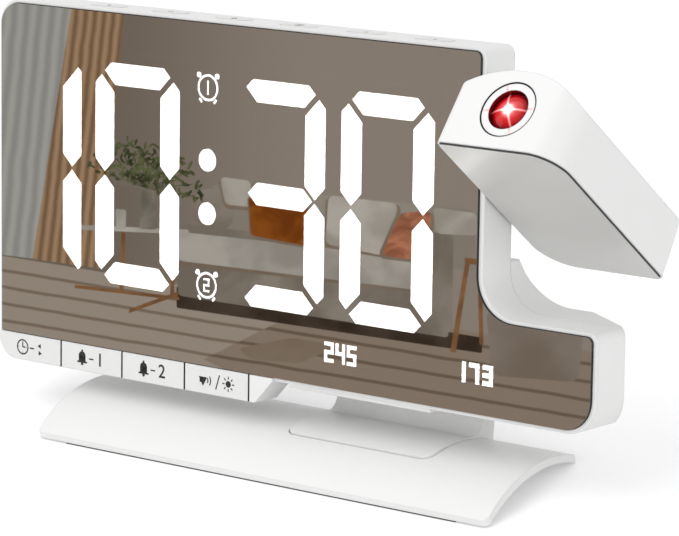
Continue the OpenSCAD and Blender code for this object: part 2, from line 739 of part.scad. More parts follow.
module display_mask() color("black") in_case() difference() {
  union() {
    along_y(mask_y, mask_back) display_window(0);
    along_y(plate_back + fit_gap, mask_back) display_window(mask_lip);
  }
  along_y(0, mask_back + 1) {
    segments(fit_gap, true, true);
    symbols(fit_gap);
  }
}
module segments_lit() color("white") in_case() along_y(mask_y, mask_y + segment_t) segments(0, true, false);
module segments_off() color("gray") in_case() along_y(mask_y, mask_y + segment_t) segments(0, false, true);
module symbols_lit() color("white") in_case() along_y(mask_y, mask_y + segment_t) symbols(0);
module display_board() color("green") in_case() along_y(board_y, board_y + board_t) display_window(mask_lip);
module display_leds() color("ivory") in_case() {
  for (d = [0:3], s = digit_segments[d]) {
    pts = segment_pts(s, 0, digit_chamfers[d]);
    mid = [for (i = [0, 1]) (pts[1][i] + pts[4][i]) / 2];
    translate([digit_x[d] + mid[0], board_y - led_h / 2, digit_z + mid[1]])
      cube([2, led_h, 1.6], center = true);
  }
  for (s = [-1, 1]) translate([colon_x, board_y - led_h / 2, digit_z + digit_mid + s * colon_dz])
    cube([2, led_h, 1.6], center = true);
}

// ---- rear housing contents ----
module main_board() color("darkgreen") in_case() difference() {
  block(main_x, [main_y, main_y + board_t], main_z);
  for (p = main_post_at) translate([p[0], 0, p[1]]) rod_y(main_y - 1, main_y + board_t + 1, 1);
}
module main_chips() color("black") in_case() {
  y = main_y + board_t;
  block([48, 57], [y, y + 1.6], [18, 27]);
  block([104, 110], [y, y + 1.4], [14, 19]);
  for (x = cap_x) translate([x, 0, speaker_z]) rod_y(y, y + cap_h, cap_r);
  block([20, 32], [y, y + 3], [20, 23.5]);
}
module coin_holder() color("black") in_case() difference() {
  y = main_y + board_t;
  block([cell_x - cell_r - 0.7, cell_x + cell_r + 0.7], [y, door_y - 1.2],
    [cell_z - door_h / 2 + 1.2, cell_z + door_h / 2 - 1.2]);
  translate([cell_x, 0, cell_z]) rod_y(door_y - 1.2 - cell_t, door_y, cell_r + fit_gap);
}
module coin_cell() color("silver") in_case() translate([cell_x, 0, cell_z]) {
  rod_y(door_y - 1.2 - cell_t, door_y - 1.5, cell_r);
  rod_y(door_y - 1.6, door_y - 1.2, cell_r - 1);
}
module battery_door() color("white") in_case() difference() {
  block([cell_x - door_w / 2, cell_x + door_w / 2], [door_y, depth_lower],
    [cell_z - door_h / 2, cell_z + door_h / 2]);
  translate([cell_x + door_w / 2 - 1.7 - fit_gap, 0, cell_z]) {
    rod_y(door_y - 1, depth_lower + 1, 0.9);
    rod_y(depth_lower - 0.6, depth_lower + 1, 1.5);
  }
}
module door_screw() color("silver") in_case()
  translate([cell_x + door_w / 2 - 1.7 - fit_gap, depth_lower - 0.6, cell_z]) rotate([90, 0, 0])
    screw_back(1.4, 0.5, 0.8, 3.2);
module speaker() color("dimgray") in_case() translate([speaker_x, 0, speaker_z]) {
  y = depth_lower - wall;
  rod_y(y - 1.4, y, speaker_r);
  rod_y(y - speaker_t, y - 1.4, speaker_r * 0.62);
}
module dc_jack() color("black") in_case() difference() {
  union() {
    block([jack_x - jack_w / 2, jack_x + jack_w / 2], [main_y + board_t, depth_lower - wall - fit_gap],
      [jack_z - 3.2, jack_z + 3.2]);
    translate([jack_x, 0, jack_z]) rod_y(depth_lower - wall - 1, depth_lower - 0.2, jack_r);
  }
  translate([jack_x, 0, jack_z]) difference() {
    rod_y(depth_lower - 9, depth_lower + 1, 1.8);
    rod_y(depth_lower - 10, depth_lower - 1.5, 0.65);
  }
}

// ---- keys ----
function key_split(k) = key_x0 + k * key_pitch;
function key_mid(k) = key_split(k) - key_pitch / 2;
function key_stem_z() = -strip_h / 2 + 0.2;
function top_mid(k) = top_key_x + (k - 1) * top_pitch;
module front_key(k) color("white") in_case() {
  x0 = k == 1 ? 0 : key_split(k - 1) + key_gap / 2;
  intersection() {
    along_y(key_y, key_y + key_t) strip_shape(key_top);
    block([x0, key_split(k) - key_gap / 2], [0, strip_d], [-strip_h, key_top]);
  }
  translate([key_mid(k), 0, key_stem_z()])
    block([-stem_w / 2, stem_w / 2], [key_y + key_t - eps, stem_end], [-stem_h / 2, stem_h / 2]);
}
module key_board() color("green") in_case()
  block([strip_r + 0.4, key_split(key_count) - pod_wall - 0.4],
    [key_board_y, key_board_y + board_t], [-strip_h + pod_wall + 0.2, rim + 2]);
module key_switches() color("black") in_case()
  for (k = [1:key_count]) translate([key_mid(k), key_board_y, key_stem_z()]) {
    block([-switch_w / 2, switch_w / 2], [-switch_h, 0], [-1.8, 1.8]);
    rod_y(-switch_h - plunger_h, -switch_h + eps, plunger_r);
  }
// A key-shaped pill, grown by g
module top_pill(h, g) {
  w = top_key_w - top_key_d;
  translate([-w / 2, -top_key_d / 2 - g, 0]) cube([w, top_key_d + 2 * g, h]);
  for (s = [-1, 1]) translate([s * w / 2, 0, 0]) cylinder(h = h, r = top_key_d / 2 + g);
}
module top_key(k) color("white") in_case() translate([top_mid(k), top_y, 0]) {
  translate([0, 0, top_flange_z + top_flange_t - eps])
    top_pill(body_h + top_proud - top_flange_z - top_flange_t + eps, 0);
  translate([0, 0, top_flange_z]) top_pill(top_flange_t, 1);
}
module top_board() color("green") in_case()
  block([top_mid(1) - 8, top_mid(top_key_count) + 8], [plate_back + 0.6, cover_y - 0.3],
    [top_board_z, top_board_z + board_t]);
module top_switches() color("black") in_case()
  for (k = [1:top_key_count]) translate([top_mid(k), top_y, top_board_z + board_t]) {
    translate([-switch_w / 2, -1.8, 0]) cube([switch_w, 3.6, switch_h]);
    cylinder(h = switch_h + plunger_h, r = plunger_r);
  }

// ---- hinge ----
module hinge_bush() color("silver") in_case() translate([0, pivot_y, pivot_z]) difference() {
  union() {
    rod_x(upper_w - wall, upper_w + bush_flange, bush_r);
    rod_x(upper_w, upper_w + bush_flange, bush_r + 1);
  }
  rod_x(upper_w - wall - 1, upper_w + 1, shaft_r + run_gap);
}
module spring_washer() color("silver") in_case() translate([0, pivot_y, pivot_z]) difference() {
  rod_x(upper_w - wall - washer_t, upper_w - wall - 0.03, washer_r);
  rod_x(upper_w - wall - washer_t - 1, upper_w, shaft_r + run_gap);
}
module hinge_shaft() color("silver") in_head() translate([0, head_pivot_y, pivot_z]) difference() {
  union() {
    rod_x(upper_w - wall - 5, head_x0 + head_wall + 1.5, shaft_r);
    rod_x(head_x0 + head_wall + 0.02, head_x0 + head_wall + 1.5, shaft_r + 2.3);
  }
  difference() {
    rod_x(upper_w - wall - washer_t - 0.1 - clip_t, upper_w - wall - washer_t - 0.05, shaft_r + 1);
    rod_x(upper_w - wall - 6, upper_w, shaft_r - 0.4);
  }
  rod_x(upper_w - wall - 6, head_x0 + head_wall + 3, shaft_r - 0.9);
}
module shaft_clip() color("silver") in_head() translate([0, head_pivot_y, pivot_z]) difference() {
  rod_x(upper_w - wall - washer_t - 0.08 - clip_t, upper_w - wall - washer_t - 0.08, washer_r);
  rod_x(upper_w - wall - 6, upper_w, shaft_r - 0.38);
}
module projector_lead() color("red") in_case() {
  edge = window_x[1] + mask_lip;
  block([edge - 5, edge + 1.2], [board_y + board_t, board_y + board_t + 2.4], [pivot_z - 2.5, pivot_z + 2.5]);
  translate([0, pivot_y, pivot_z]) rod_x(edge + 0.2, head_xc - engine_w / 2 - 0.3, 0.9);
}

// ---- projector head ----
module head_shell() color("white") in_head() difference() {
  union() {
    difference() {
      head_solid(0, head_rim_y);
      head_solid(head_wall, -1);
      head_block(head_rim - fit_gap, -1, head_mirror_t);
    }
    intersection() {
      head_solid(head_wall / 2, head_rim_y);
      union() {
        for (p = cover_screw_at) translate([p[0], 0, p[1]])
          rod_y(head_mirror_t + head_cover_t, head_d, cover_boss_r);
        block([head_xc - 4.5, head_xc + 4.5], [lens_y + engine_d / 2, head_d], [engine_z[0] + 2, engine_z[1] - 2]);
      }
    }
  }
  translate([head_xc, lens_y, head_z1 - head_wall - 1]) cylinder(h = head_wall + 2, r = ring_hole_r);
  translate([0, head_pivot_y, pivot_z]) rod_x(head_x0 - 1, head_x0 + head_wall + 1, shaft_r + 0.02);
  for (p = cover_screw_at) translate([p[0], 0, p[1]]) rod_y(0, 9, 0.8);
}
module head_cover() color("white") in_head() difference() {
  head_block(head_wall + fit_gap, head_mirror_t, head_mirror_t + head_cover_t);
  for (p = cover_screw_at) translate([p[0], 0, p[1]]) {
    rod_y(0, 9, 0.9);
    rod_y(0, head_mirror_t + 0.7, 1.6);
  }
}
module head_mirror() color("dimgray") in_head() head_block(head_rim, 0, head_mirror_t);
module cover_screws() color("silver") in_head()
  for (p = cover_screw_at) translate([p[0], head_mirror_t + 0.7, p[1]]) rotate([-90, 0, 0])
    screw(1.5, 0.6, 0.8, 5);
module lens_axis() {
  translate([head_xc, lens_y, 0]) children();
}
module lens_barrel() color("black") in_head() lens_axis() difference() {
  union() {
    translate([0, 0, engine_z[1]]) cylinder(h = barrel_z1 - engine_z[1], r = barrel_r);
    translate([-engine_w / 2, -engine_d / 2, engine_z[1]]) cube([engine_w, engine_d, engine_flange]);
  }
  translate([0, 0, engine_z[1] - 1]) cylinder(h = barrel_z1, r = barrel_r - barrel_wall);
}
module engine_case() color("black") in_head() lens_axis() difference() {
  translate([-engine_w / 2, -engine_d / 2, engine_z[0]]) cube([engine_w, engine_d, engine_z[1] - engine_z[0]]);
  translate([-engine_w / 2 + engine_wall, -engine_d / 2 + engine_wall, engine_z[0] - 1])
    cube([engine_w - 2 * engine_wall, engine_d - 2 * engine_wall, engine_z[1] - engine_z[0] + 2]);
}
module projector_lcd() color("darkslategray") in_head() lens_axis()
  translate([-engine_w / 2 + engine_wall + fit_gap, -engine_d / 2 + engine_wall + fit_gap, engine_z[1] - 1.2])
    cube([engine_w - 2 * (engine_wall + fit_gap), engine_d - 2 * (engine_wall + fit_gap), 1.1]);
module condenser_lens() color("lightblue") in_head() lens_axis() {
  r = engine_d / 2 - engine_wall - fit_gap;
  translate([0, 0, engine_z[1] - 8]) intersection() {
    cylinder(h = 4, r = r);
    translate([0, 0, 4 - r * 1.6]) sphere(r * 1.6, $fn = 64);
  }
}
module led_board() color("green") in_head() lens_axis()
  translate([-engine_w / 2, -engine_d / 2, engine_z[0] - board_t]) cube([engine_w, engine_d, board_t]);
module projector_led() color("ivory") in_head() lens_axis()
  translate([-1.5, -1.5, engine_z[0]]) cube([3, 3, 1.2]);
module focus_ring() color("white") in_head() lens_axis() difference() {
  translate([0, 0, ring_z1 - ring_len]) cylinder(h = ring_len, r = ring_r);
  translate([0, 0, ring_z1 - ring_len - 1]) cylinder(h = ring_len + 1 - ring_lip, r = barrel_r + run_gap);
  translate([0, 0, ring_z1 - ring_lip - 1]) cylinder(h = ring_lip + 2, r = lens_r);
}
module projection_lens() color("red") in_head() lens_axis() {
  r = lens_r - fit_gap;
  translate([0, 0, ring_z1 - ring_lip - 1.8]) cylinder(h = 1.75, r = barrel_r - fit_gap);
  translate([0, 0, ring_z1 - ring_lip - 1]) intersection() {
    cylinder(h = ring_lip + 1.3, r = r);
    translate([0, 0, ring_lip + 1.3 - r * 1.7]) sphere(r * 1.7, $fn = 64);
  }
}

base_plate();
foot_strips();
neck();
neck_screws();
flange_screws();
front_shell();
rear_shell();
case_screws();
mirror_panel();
display_mask();
segments_lit();
segments_off();
symbols_lit();
display_board();
display_leds();
main_board();
main_chips();
coin_holder();
coin_cell();
battery_door();
door_screw();
speaker();
dc_jack();
for (k = [1:key_count]) front_key(k);
key_board();
key_switches();
for (k = [1:top_key_count]) top_key(k);
top_board();
top_switches();
hinge_bush();
spring_washer();
projector_lead();
hinge_shaft();
shaft_clip();
head_shell();
head_cover();
head_mirror();
cover_screws();
lens_barrel();
engine_case();
projector_lcd();
condenser_lens();
led_board();
projector_led();
focus_ring();
projection_lens();
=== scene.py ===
"""Finishes the projection alarm clock: plastics, mirrors, display, projector, marks and a small studio."""

import json
import math
import random

import bmesh
import bpy
from mathutils import Euler, Matrix, Vector


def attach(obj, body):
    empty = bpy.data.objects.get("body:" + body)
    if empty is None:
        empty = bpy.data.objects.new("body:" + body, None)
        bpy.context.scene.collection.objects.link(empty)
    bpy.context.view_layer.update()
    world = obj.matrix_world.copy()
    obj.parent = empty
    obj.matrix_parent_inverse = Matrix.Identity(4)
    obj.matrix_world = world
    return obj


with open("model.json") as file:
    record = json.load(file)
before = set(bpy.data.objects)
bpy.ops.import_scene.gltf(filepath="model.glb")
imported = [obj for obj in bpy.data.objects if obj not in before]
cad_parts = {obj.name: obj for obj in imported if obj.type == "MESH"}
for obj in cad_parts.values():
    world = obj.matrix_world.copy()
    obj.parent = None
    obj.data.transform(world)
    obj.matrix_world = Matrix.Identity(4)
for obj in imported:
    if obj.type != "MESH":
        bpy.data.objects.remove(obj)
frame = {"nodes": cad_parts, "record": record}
NODES = frame["nodes"]
JOINTS = {joint["name"]: joint for joint in frame["record"]["behaviour"]["joints"]}
MM = 0.001

bl_info = {
    "name": "Projection Alarm Clock",
    "version": (1, 0, 0),
    "blender": (4, 5, 0),
    "location": "View3D > Sidebar > Clock",
    "description": "Finishes the pieces of a mirror-faced projection alarm clock and its studio",
    "category": "Object",
}

# The clock's face leans back by this angle, and its bottom left front corner lies here
LEAN = math.radians(15.2)
CASE_CORNER = Vector((-0.101, 0.0159, 0.020))
# The lens turns about this point, and its axis leans forward by this angle
LENS_PLACE = Vector(JOINTS["focus_turn"]["pos_m"])
LENS_AXIS = Vector(JOINTS["focus_turn"]["axis"])
LENS_LEAN = math.atan2(-LENS_AXIS.y, LENS_AXIS.z)
FRONT_KEYS = ["key_1", "key_2", "key_3", "key_4"]
TOP_KEYS = ["top_key_%d" % n for n in range(1, 7)]
CASE_NODES = ["rear_shell", "battery_door", "base_plate", "neck"]
# The clear windows in the print behind the mirror, in case millimetres as (left, right, bottom, top)
WINDOWS = [(19.1, 149.6, 15.0, 79.7), (19.1, 169.4, 6.5, 15.1)]
# The back of the display's mirror, in case millimetres behind its front
MIRROR_BACK = 1.5
# The bores round the lens's axis, as radii in millimetres
HEAD_BORE = 7.75
RING_OUTSIDE = (7.1, 9.0)
RING_BORE = 6.6
# Middles of the keys' faces, in case millimetres as (x of the first, step in x, y, z)
FRONT_KEY_AT = (11.9, 22.15, 0.1, -2.9)
TOP_KEY_AT = (34.6, 21.8, 6.2, 92.1)
# Height of the print in millimetres, and how far the front keys' signs are enlarged
PRINT_HEIGHT = 0.035
FRONT_SIGN_SCALE = 1.22
# Black painted as shade in the gaps, black of what lies under the mirror, dark red painted as shade lit by
# the lens inside the ring, and the lens's rays painted in pink on it
GAP_SHADE_BLACK = (0.006, 0.006, 0.006)
SEAT_BLACK = (0.004, 0.004, 0.004)
BORE_SHADE_RED = (0.20, 0.003, 0.004)
PAINTED_RAY_PINK = (0.85, 0.25, 0.25)
# The floor's own light, for the rays that should meet white
FLOOR_LIFT = 0.28
SENSOR_WIDTH = 36.0
CAMERA_SHIFT = (0.00405, -0.00246)
# The room's cards are drawn in hundredths of the view's width, with the view's middle here
VIEW_MIDDLE = (49.6, 39.7)
VASE_MOUTH = (21.6, 51.4)
TWIG_DROOP = 0.24


def case_matrix():
    """From the case's own millimetres (x right, y back, z up the face) to the world."""
    return Matrix.Translation(CASE_CORNER) @ Matrix.Rotation(-LEAN, 4, "X") @ Matrix.Scale(MM, 4)


def display_front():
    """The way that the display's mirror faces."""
    face = Vector((0.0, -1.0, 0.0))
    face.rotate(Matrix.Rotation(-LEAN, 3, "X"))
    return face


# ---- settings ----


class ClockShellLook(bpy.types.PropertyGroup):
    """The white plastics."""

    colour: bpy.props.FloatVectorProperty(
        name="White", description="Colour of the case, stand and head", subtype="COLOR", size=3,
        default=(0.84, 0.84, 0.835), min=0.0, max=1.0)
    key_colour: bpy.props.FloatVectorProperty(
        name="Keys", description="Colour of the keys", subtype="COLOR", size=3,
        default=(0.79, 0.79, 0.785), min=0.0, max=1.0)
    print_colour: bpy.props.FloatVectorProperty(
        name="Print", description="Colour of the signs on the keys", subtype="COLOR", size=3,
        default=(0.015, 0.015, 0.016), min=0.0, max=1.0)
    roughness: bpy.props.FloatProperty(
        name="Roughness", description="Gloss of the white plastics", default=0.36, min=0.05, max=1.0)
    edge_radius: bpy.props.FloatProperty(
        name="Edge radius", description="Radius of the moulded edges", default=0.00045, min=0.0,
        max=0.002, unit="LENGTH")
    grain: bpy.props.FloatProperty(
        name="Grain", description="Depth of the fine moulded texture", default=0.000004, min=0.0,
        max=0.0001, unit="LENGTH", precision=6)


class ClockMirrorLook(bpy.types.PropertyGroup):
    """The half-silvered mirrors."""

    tint: bpy.props.FloatVectorProperty(
        name="Tint", description="Colour that the mirrors reflect", subtype="COLOR", size=3,
        default=(0.76, 0.745, 0.72), min=0.0, max=1.0)
    silvering: bpy.props.FloatProperty(
        name="Silvering", description="Share of light that the display's mirror turns back",
        default=0.78, min=0.0, max=1.0, subtype="FACTOR")
    roughness: bpy.props.FloatProperty(
        name="Roughness", description="Haze of the display's mirror", default=0.010, min=0.0, max=1.0)
    head_silver: bpy.props.FloatVectorProperty(
        name="Head silver", description="Colour of the head's satin mirror", subtype="COLOR", size=3,
        default=(0.625, 0.62, 0.605), min=0.0, max=1.0)
    head_roughness: bpy.props.FloatProperty(
        name="Head haze", description="Haze of the head's satin mirror", default=0.34, min=0.0, max=1.0)


class ClockLightLook(bpy.types.PropertyGroup):
    """The display's and the projector's light."""

    digit_colour: bpy.props.FloatVectorProperty(
        name="Digits", description="Colour of the lit segments", subtype="COLOR", size=3,
        default=(1.0, 1.0, 1.0), min=0.0, max=1.0)
    digit_strength: bpy.props.FloatProperty(
        name="Digit strength", description="Brightness of the lit segments", default=5.0, min=0.0)
    lens_colour: bpy.props.FloatVectorProperty(
        name="Lens", description="Colour of the projection lens", subtype="COLOR", size=3,
        default=(0.50, 0.004, 0.008), min=0.0, max=1.0)
    # The spark is painted light in the lens's emission
    spark_strength: bpy.props.FloatProperty(
        name="Spark strength", description="Brightness of the light in the lens", default=6.0, min=0.0)


class ClockStageLook(bpy.types.PropertyGroup):
    """Camera, lamps, floor and the room that the mirror shows."""

    camera_place: bpy.props.FloatVectorProperty(
        name="Camera", description="Place of the camera", subtype="TRANSLATION", unit="LENGTH", size=3,
        default=(0.60824, -0.64077, 0.40420))
    camera_turn: bpy.props.FloatVectorProperty(
        name="Camera turn", description="Turn of the camera about X, Y and Z", subtype="EULER",
        size=3, default=(math.radians(68.1163), math.radians(8.7086), math.radians(38.1335)))
    lens: bpy.props.FloatProperty(
        name="Lens", description="Focal length in millimetres", default=200.4, min=10.0)
    floor_colour: bpy.props.FloatVectorProperty(
        name="Floor", description="Colour of the floor", subtype="COLOR", size=3,
        default=(0.86, 0.86, 0.86), min=0.0, max=1.0)
    world_strength: bpy.props.FloatProperty(
        name="World", description="Brightness of the white surroundings", default=0.84, min=0.0)
    key_power: bpy.props.FloatProperty(
        name="Key lamp", description="Power of the large lamp above", default=2.65, min=0.0, unit="POWER")
    side_power: bpy.props.FloatProperty(
        name="Side lamp", description="Power of the lamp on the left", default=1.0, min=0.0, unit="POWER")
    right_power: bpy.props.FloatProperty(
        name="Right lamp", description="Power of the lamp on the right", default=1.9, min=0.0, unit="POWER")
    front_power: bpy.props.FloatProperty(
        name="Front lamp", description="Power of the lamp in front", default=1.25, min=0.0, unit="POWER")
    room_strength: bpy.props.FloatProperty(
        name="Room", description="Brightness of the room that the mirror shows", default=1.75, min=0.0)


# ---- node helpers ----


def new_material(name):
    """A material with an empty node tree and its output."""
    mat = bpy.data.materials.new(name)
    mat.use_nodes = True
    tree = mat.node_tree
    tree.nodes.clear()
    return mat, tree, tree.nodes.new("ShaderNodeOutputMaterial")


def add_node(tree, kind, **values):
    """A node of this kind. Each value sets an attribute, or the input of that name."""
    n = tree.nodes.new(kind)
    for key, value in values.items():
        if hasattr(n, key):
            setattr(n, key, value)
        else:
            n.inputs[key.replace("_", " ")].default_value = value
    return n


def calc(tree, operation, first, second):
    """A Math node on two values, each a number or a socket."""
    m = add_node(tree, "ShaderNodeMath", operation=operation)
    for slot, value in enumerate((first, second)):
        if isinstance(value, (int, float)):
            m.inputs[slot].default_value = value
        else:
            tree.links.new(value, m.inputs[slot])
    return m.outputs["Value"]


def object_noise(tree, scale, detail=3.0, stretch=(1.0, 1.0, 1.0)):
    """Noise that sits on the piece, with scale in cells per metre."""
    where = add_node(tree, "ShaderNodeTexCoord")
    turned = add_node(tree, "ShaderNodeMapping")
    turned.inputs["Scale"].default_value = stretch
    noise = add_node(tree, "ShaderNodeTexNoise", Scale=scale, Detail=detail)
    tree.links.new(where.outputs["Object"], turned.inputs["Vector"])
    tree.links.new(turned.outputs["Vector"], noise.inputs["Vector"])
    return noise.outputs["Fac"]


def between(tree, factor, low, high):
    """A factor from 0 to 1 spread between two numbers."""
    m = add_node(tree, "ShaderNodeMapRange")
    m.inputs["To Min"].default_value = low
    m.inputs["To Max"].default_value = high
    tree.links.new(factor, m.inputs["Value"])
    return m.outputs["Result"]


def fading(tree, value, full, none):
    """1 up to one number and 0 from the other on, with a soft change."""
    m = add_node(tree, "ShaderNodeMapRange", interpolation_type="SMOOTHSTEP")
    m.inputs["From Min"].default_value = full
    m.inputs["From Max"].default_value = none
    m.inputs["To Min"].default_value = 1.0
    m.inputs["To Max"].default_value = 0.0
    tree.links.new(value, m.inputs["Value"])
    return m.outputs["Result"]


def two_tones(tree, factor, first, second):
    """A colour between two tones, each a colour or a socket."""
    mix = tree.nodes.new("ShaderNodeMix")
    mix.data_type = "RGBA"
    for slot, tone in (("A", first), ("B", second)):
        if isinstance(tone, tuple):
            mix.inputs[slot].default_value = (*tone, 1.0)
        else:
            tree.links.new(tone, mix.inputs[slot])
    tree.links.new(factor, mix.inputs["Factor"])
    return mix.outputs["Result"]


def local_place(tree, place, lean):
    """Millimetres from a point, along axes that lean by this angle about X, as separate x, y and z."""
    where = add_node(tree, "ShaderNodeTexCoord")
    turned = add_node(tree, "ShaderNodeMapping", vector_type="TEXTURE")
    turned.inputs["Location"].default_value = place
    turned.inputs["Rotation"].default_value = (lean, 0.0, 0.0)
    turned.inputs["Scale"].default_value = (MM, MM, MM)
    split = add_node(tree, "ShaderNodeSeparateXYZ")
    tree.links.new(where.outputs["Object"], turned.inputs["Vector"])
    tree.links.new(turned.outputs["Vector"], split.inputs["Vector"])
    return split.outputs["X"], split.outputs["Y"], split.outputs["Z"]


def facing(tree, toward):
    """1 where the surface faces that way on the piece, 0 across it, and -1 where it faces away."""
    where = add_node(tree, "ShaderNodeTexCoord")
    dot = add_node(tree, "ShaderNodeVectorMath", operation="DOT_PRODUCT")
    dot.inputs[1].default_value = toward
    tree.links.new(where.outputs["Normal"], dot.inputs[0])
    return dot.outputs["Value"]


def within(tree, value, low, high):
    """1 between two numbers, else 0."""
    above = calc(tree, "GREATER_THAN", value, low)
    below = calc(tree, "LESS_THAN", value, high)
    return calc(tree, "MULTIPLY", above, below)


def soft_edges(tree, radius):
    """Normals that round the edges off."""
    bevel = add_node(tree, "ShaderNodeBevel", samples=6)
    bevel.inputs["Radius"].default_value = radius
    return bevel.outputs["Normal"]


def bumped(tree, height, distance, normal=None, strength=1.0):
    """Normals with a relief of that depth."""
    bump = add_node(tree, "ShaderNodeBump", Strength=strength, Distance=distance)
    tree.links.new(height, bump.inputs["Height"])
    if normal is not None:
        tree.links.new(normal, bump.inputs["Normal"])
    return bump.outputs["Normal"]


def shaded(base, rough_low, rough_high, scale, name, metallic=0.0, edge=0.0002, relief=0.0,
           relief_scale=4000.0, second=None, stretch=(1.0, 1.0, 1.0), coat=0.0, ior=1.46, shine=0.5,
           parts=()):
    """A finish with two close tones, a gloss that varies, rounded edges and a fine relief.

    parts are pairs: what makes the factor for a part of the piece, and that part's colour.
    """
    mat, tree, out = new_material(name)
    p = add_node(tree, "ShaderNodeBsdfPrincipled", Metallic=metallic, IOR=ior)
    p.inputs["Specular IOR Level"].default_value = shine
    p.inputs["Coat Weight"].default_value = coat
    p.inputs["Coat Roughness"].default_value = 0.12
    cloud = object_noise(tree, scale, 4.0, stretch)
    colour = two_tones(tree, cloud, base, second or tuple(c * 0.96 for c in base))
    for where, tone in parts:
        colour = two_tones(tree, where(tree), colour, tone)
    tree.links.new(colour, p.inputs["Base Color"])
    tree.links.new(between(tree, cloud, rough_low, rough_high), p.inputs["Roughness"])
    normal = soft_edges(tree, edge)
    if relief:
        normal = bumped(tree, object_noise(tree, relief_scale, 2.0, stretch), relief, normal)
    tree.links.new(normal, p.inputs["Normal"])
    tree.links.new(p.outputs["BSDF"], out.inputs["Surface"])
    return mat


def dress(mat, *names):
    """Gives these CAD nodes one material."""
    for name in names:
        mesh = NODES[name].data
        mesh.materials.clear()
        mesh.materials.append(mat)


def make_mesh(bm, name, mat):
    """Turns a drawn bmesh into a mesh with one material."""
    mesh = bpy.data.meshes.new(name)
    bm.to_mesh(mesh)
    bm.free()
    mesh.materials.append(mat)
    return mesh


def link_new(name, data):
    """A new object in the scene."""
    obj = bpy.data.objects.new(name, data)
    bpy.context.collection.objects.link(obj)
    return obj


# ---- finishes ----


def white_plastic(look, name, colour, roughness, parts=()):
    """Moulded white plastic with a fine grain."""
    return shaded(tuple(colour), roughness * 0.92, roughness * 1.1, 60.0, name, edge=look.edge_radius,
                  relief=look.grain, relief_scale=5200.0, second=tuple(c * 0.985 for c in colour), ior=1.48,
                  parts=parts)


def from_lens_axis(tree):
    """Millimetres from the lens's axis, after x and y across it."""
    x, y, _ = local_place(tree, LENS_PLACE, LENS_LEAN)
    squares = calc(tree, "ADD", calc(tree, "MULTIPLY", x, x), calc(tree, "MULTIPLY", y, y))
    return x, y, calc(tree, "POWER", squares, 0.5)


def round_wall(inner, outer):
    """Makes the factor for the walls round the lens's axis between two radii."""
    def wall(tree):
        _, _, across = from_lens_axis(tree)
        side = within(tree, facing(tree, LENS_AXIS), -0.5, 0.5)
        return calc(tree, "MULTIPLY", within(tree, across, inner, outer), side)
    return wall


def key_gap_shade(tree):
    """The factor for the walls in the gaps between the front keys, which are painted black as shade."""
    x, _, _ = local_place(tree, CASE_CORNER, -LEAN)
    turned = facing(tree, (1.0, 0.0, 0.0))
    right = calc(tree, "GREATER_THAN", turned, 0.9)
    past_first = calc(tree, "GREATER_THAN", x, 20.0)
    left = calc(tree, "MULTIPLY", calc(tree, "LESS_THAN", turned, -0.9), past_first)
    return calc(tree, "MAXIMUM", right, left)


def mirror_seat(tree):
    """The factor for the plate that the display's mirror lies on, which is black under it."""
    _, y, _ = local_place(tree, CASE_CORNER, -LEAN)
    front = calc(tree, "GREATER_THAN", facing(tree, display_front()), 0.9)
    return calc(tree, "MULTIPLY", within(tree, y, MIRROR_BACK - 0.2, MIRROR_BACK + 0.2), front)


def display_mirror(look):
    """A tinted mirror with black edges, whose front turns back part of the light.

    Its back is printed black round the display's windows, and clear in them.
    """
    mat, tree, out = new_material("display_mirror")
    p = add_node(tree, "ShaderNodeBsdfPrincipled", IOR=1.5)
    # The normal is turned round on a face that is met from inside, so it is turned back here
    from_inside = add_node(tree, "ShaderNodeNewGeometry").outputs["Backfacing"]
    outward = calc(tree, "SUBTRACT", 1.0, calc(tree, "MULTIPLY", from_inside, 2.0))
    turned = calc(tree, "MULTIPLY", facing(tree, display_front()), outward)
    front = calc(tree, "GREATER_THAN", turned, 0.7)
    tint = tuple(look.tint)
    haze = object_noise(tree, 9.0, 3.0)
    film = two_tones(tree, haze, tint, tuple(c * 0.97 for c in tint))
    tree.links.new(two_tones(tree, front, (0.020, 0.020, 0.020), film), p.inputs["Base Color"])
    tree.links.new(front, p.inputs["Metallic"])
    tree.links.new(between(tree, haze, look.roughness * 0.7, look.roughness * 1.2), p.inputs["Roughness"])
    x, _, z = local_place(tree, CASE_CORNER, -LEAN)
    panes = [calc(tree, "MULTIPLY", within(tree, x, left, right), within(tree, z, bottom, top))
             for left, right, bottom, top in WINDOWS]
    back = calc(tree, "LESS_THAN", turned, -0.7)
    shine = calc(tree, "MULTIPLY", calc(tree, "SUBTRACT", 1.0, back), 0.5)
    tree.links.new(shine, p.inputs["Specular IOR Level"])
    clear = calc(tree, "MULTIPLY", back, calc(tree, "MAXIMUM", *panes))
    let_through = calc(tree, "MAXIMUM", clear, calc(tree, "MULTIPLY", front, 1.0 - look.silvering))
    tree.links.new(calc(tree, "SUBTRACT", 1.0, let_through), p.inputs["Alpha"])
    tree.links.new(p.outputs["BSDF"], out.inputs["Surface"])
    return mat


def head_mirror(look):
    """The head's satin silver film under clear acrylic, with dark edges."""
    mat, tree, out = new_material("head_mirror")
    p = add_node(tree, "ShaderNodeBsdfPrincipled", IOR=1.5)
    p.inputs["Coat Weight"].default_value = 0.2
    p.inputs["Coat Roughness"].default_value = 0.05
    toward = -LENS_AXIS.cross(Vector((1.0, 0.0, 0.0)))
    front = calc(tree, "GREATER_THAN", facing(tree, toward), 0.7)
    silver = tuple(look.head_silver)
    haze = object_noise(tree, 22.0, 2.0)
    film = two_tones(tree, haze, silver, tuple(c * 0.95 for c in silver))
    tree.links.new(two_tones(tree, front, (0.035, 0.035, 0.035), film), p.inputs["Base Color"])
    tree.links.new(calc(tree, "MULTIPLY", front, 0.35), p.inputs["Metallic"])
    rough = between(tree, haze, look.head_roughness * 0.9, look.head_roughness * 1.1)
    tree.links.new(rough, p.inputs["Roughness"])
    tree.links.new(p.outputs["BSDF"], out.inputs["Surface"])
    return mat


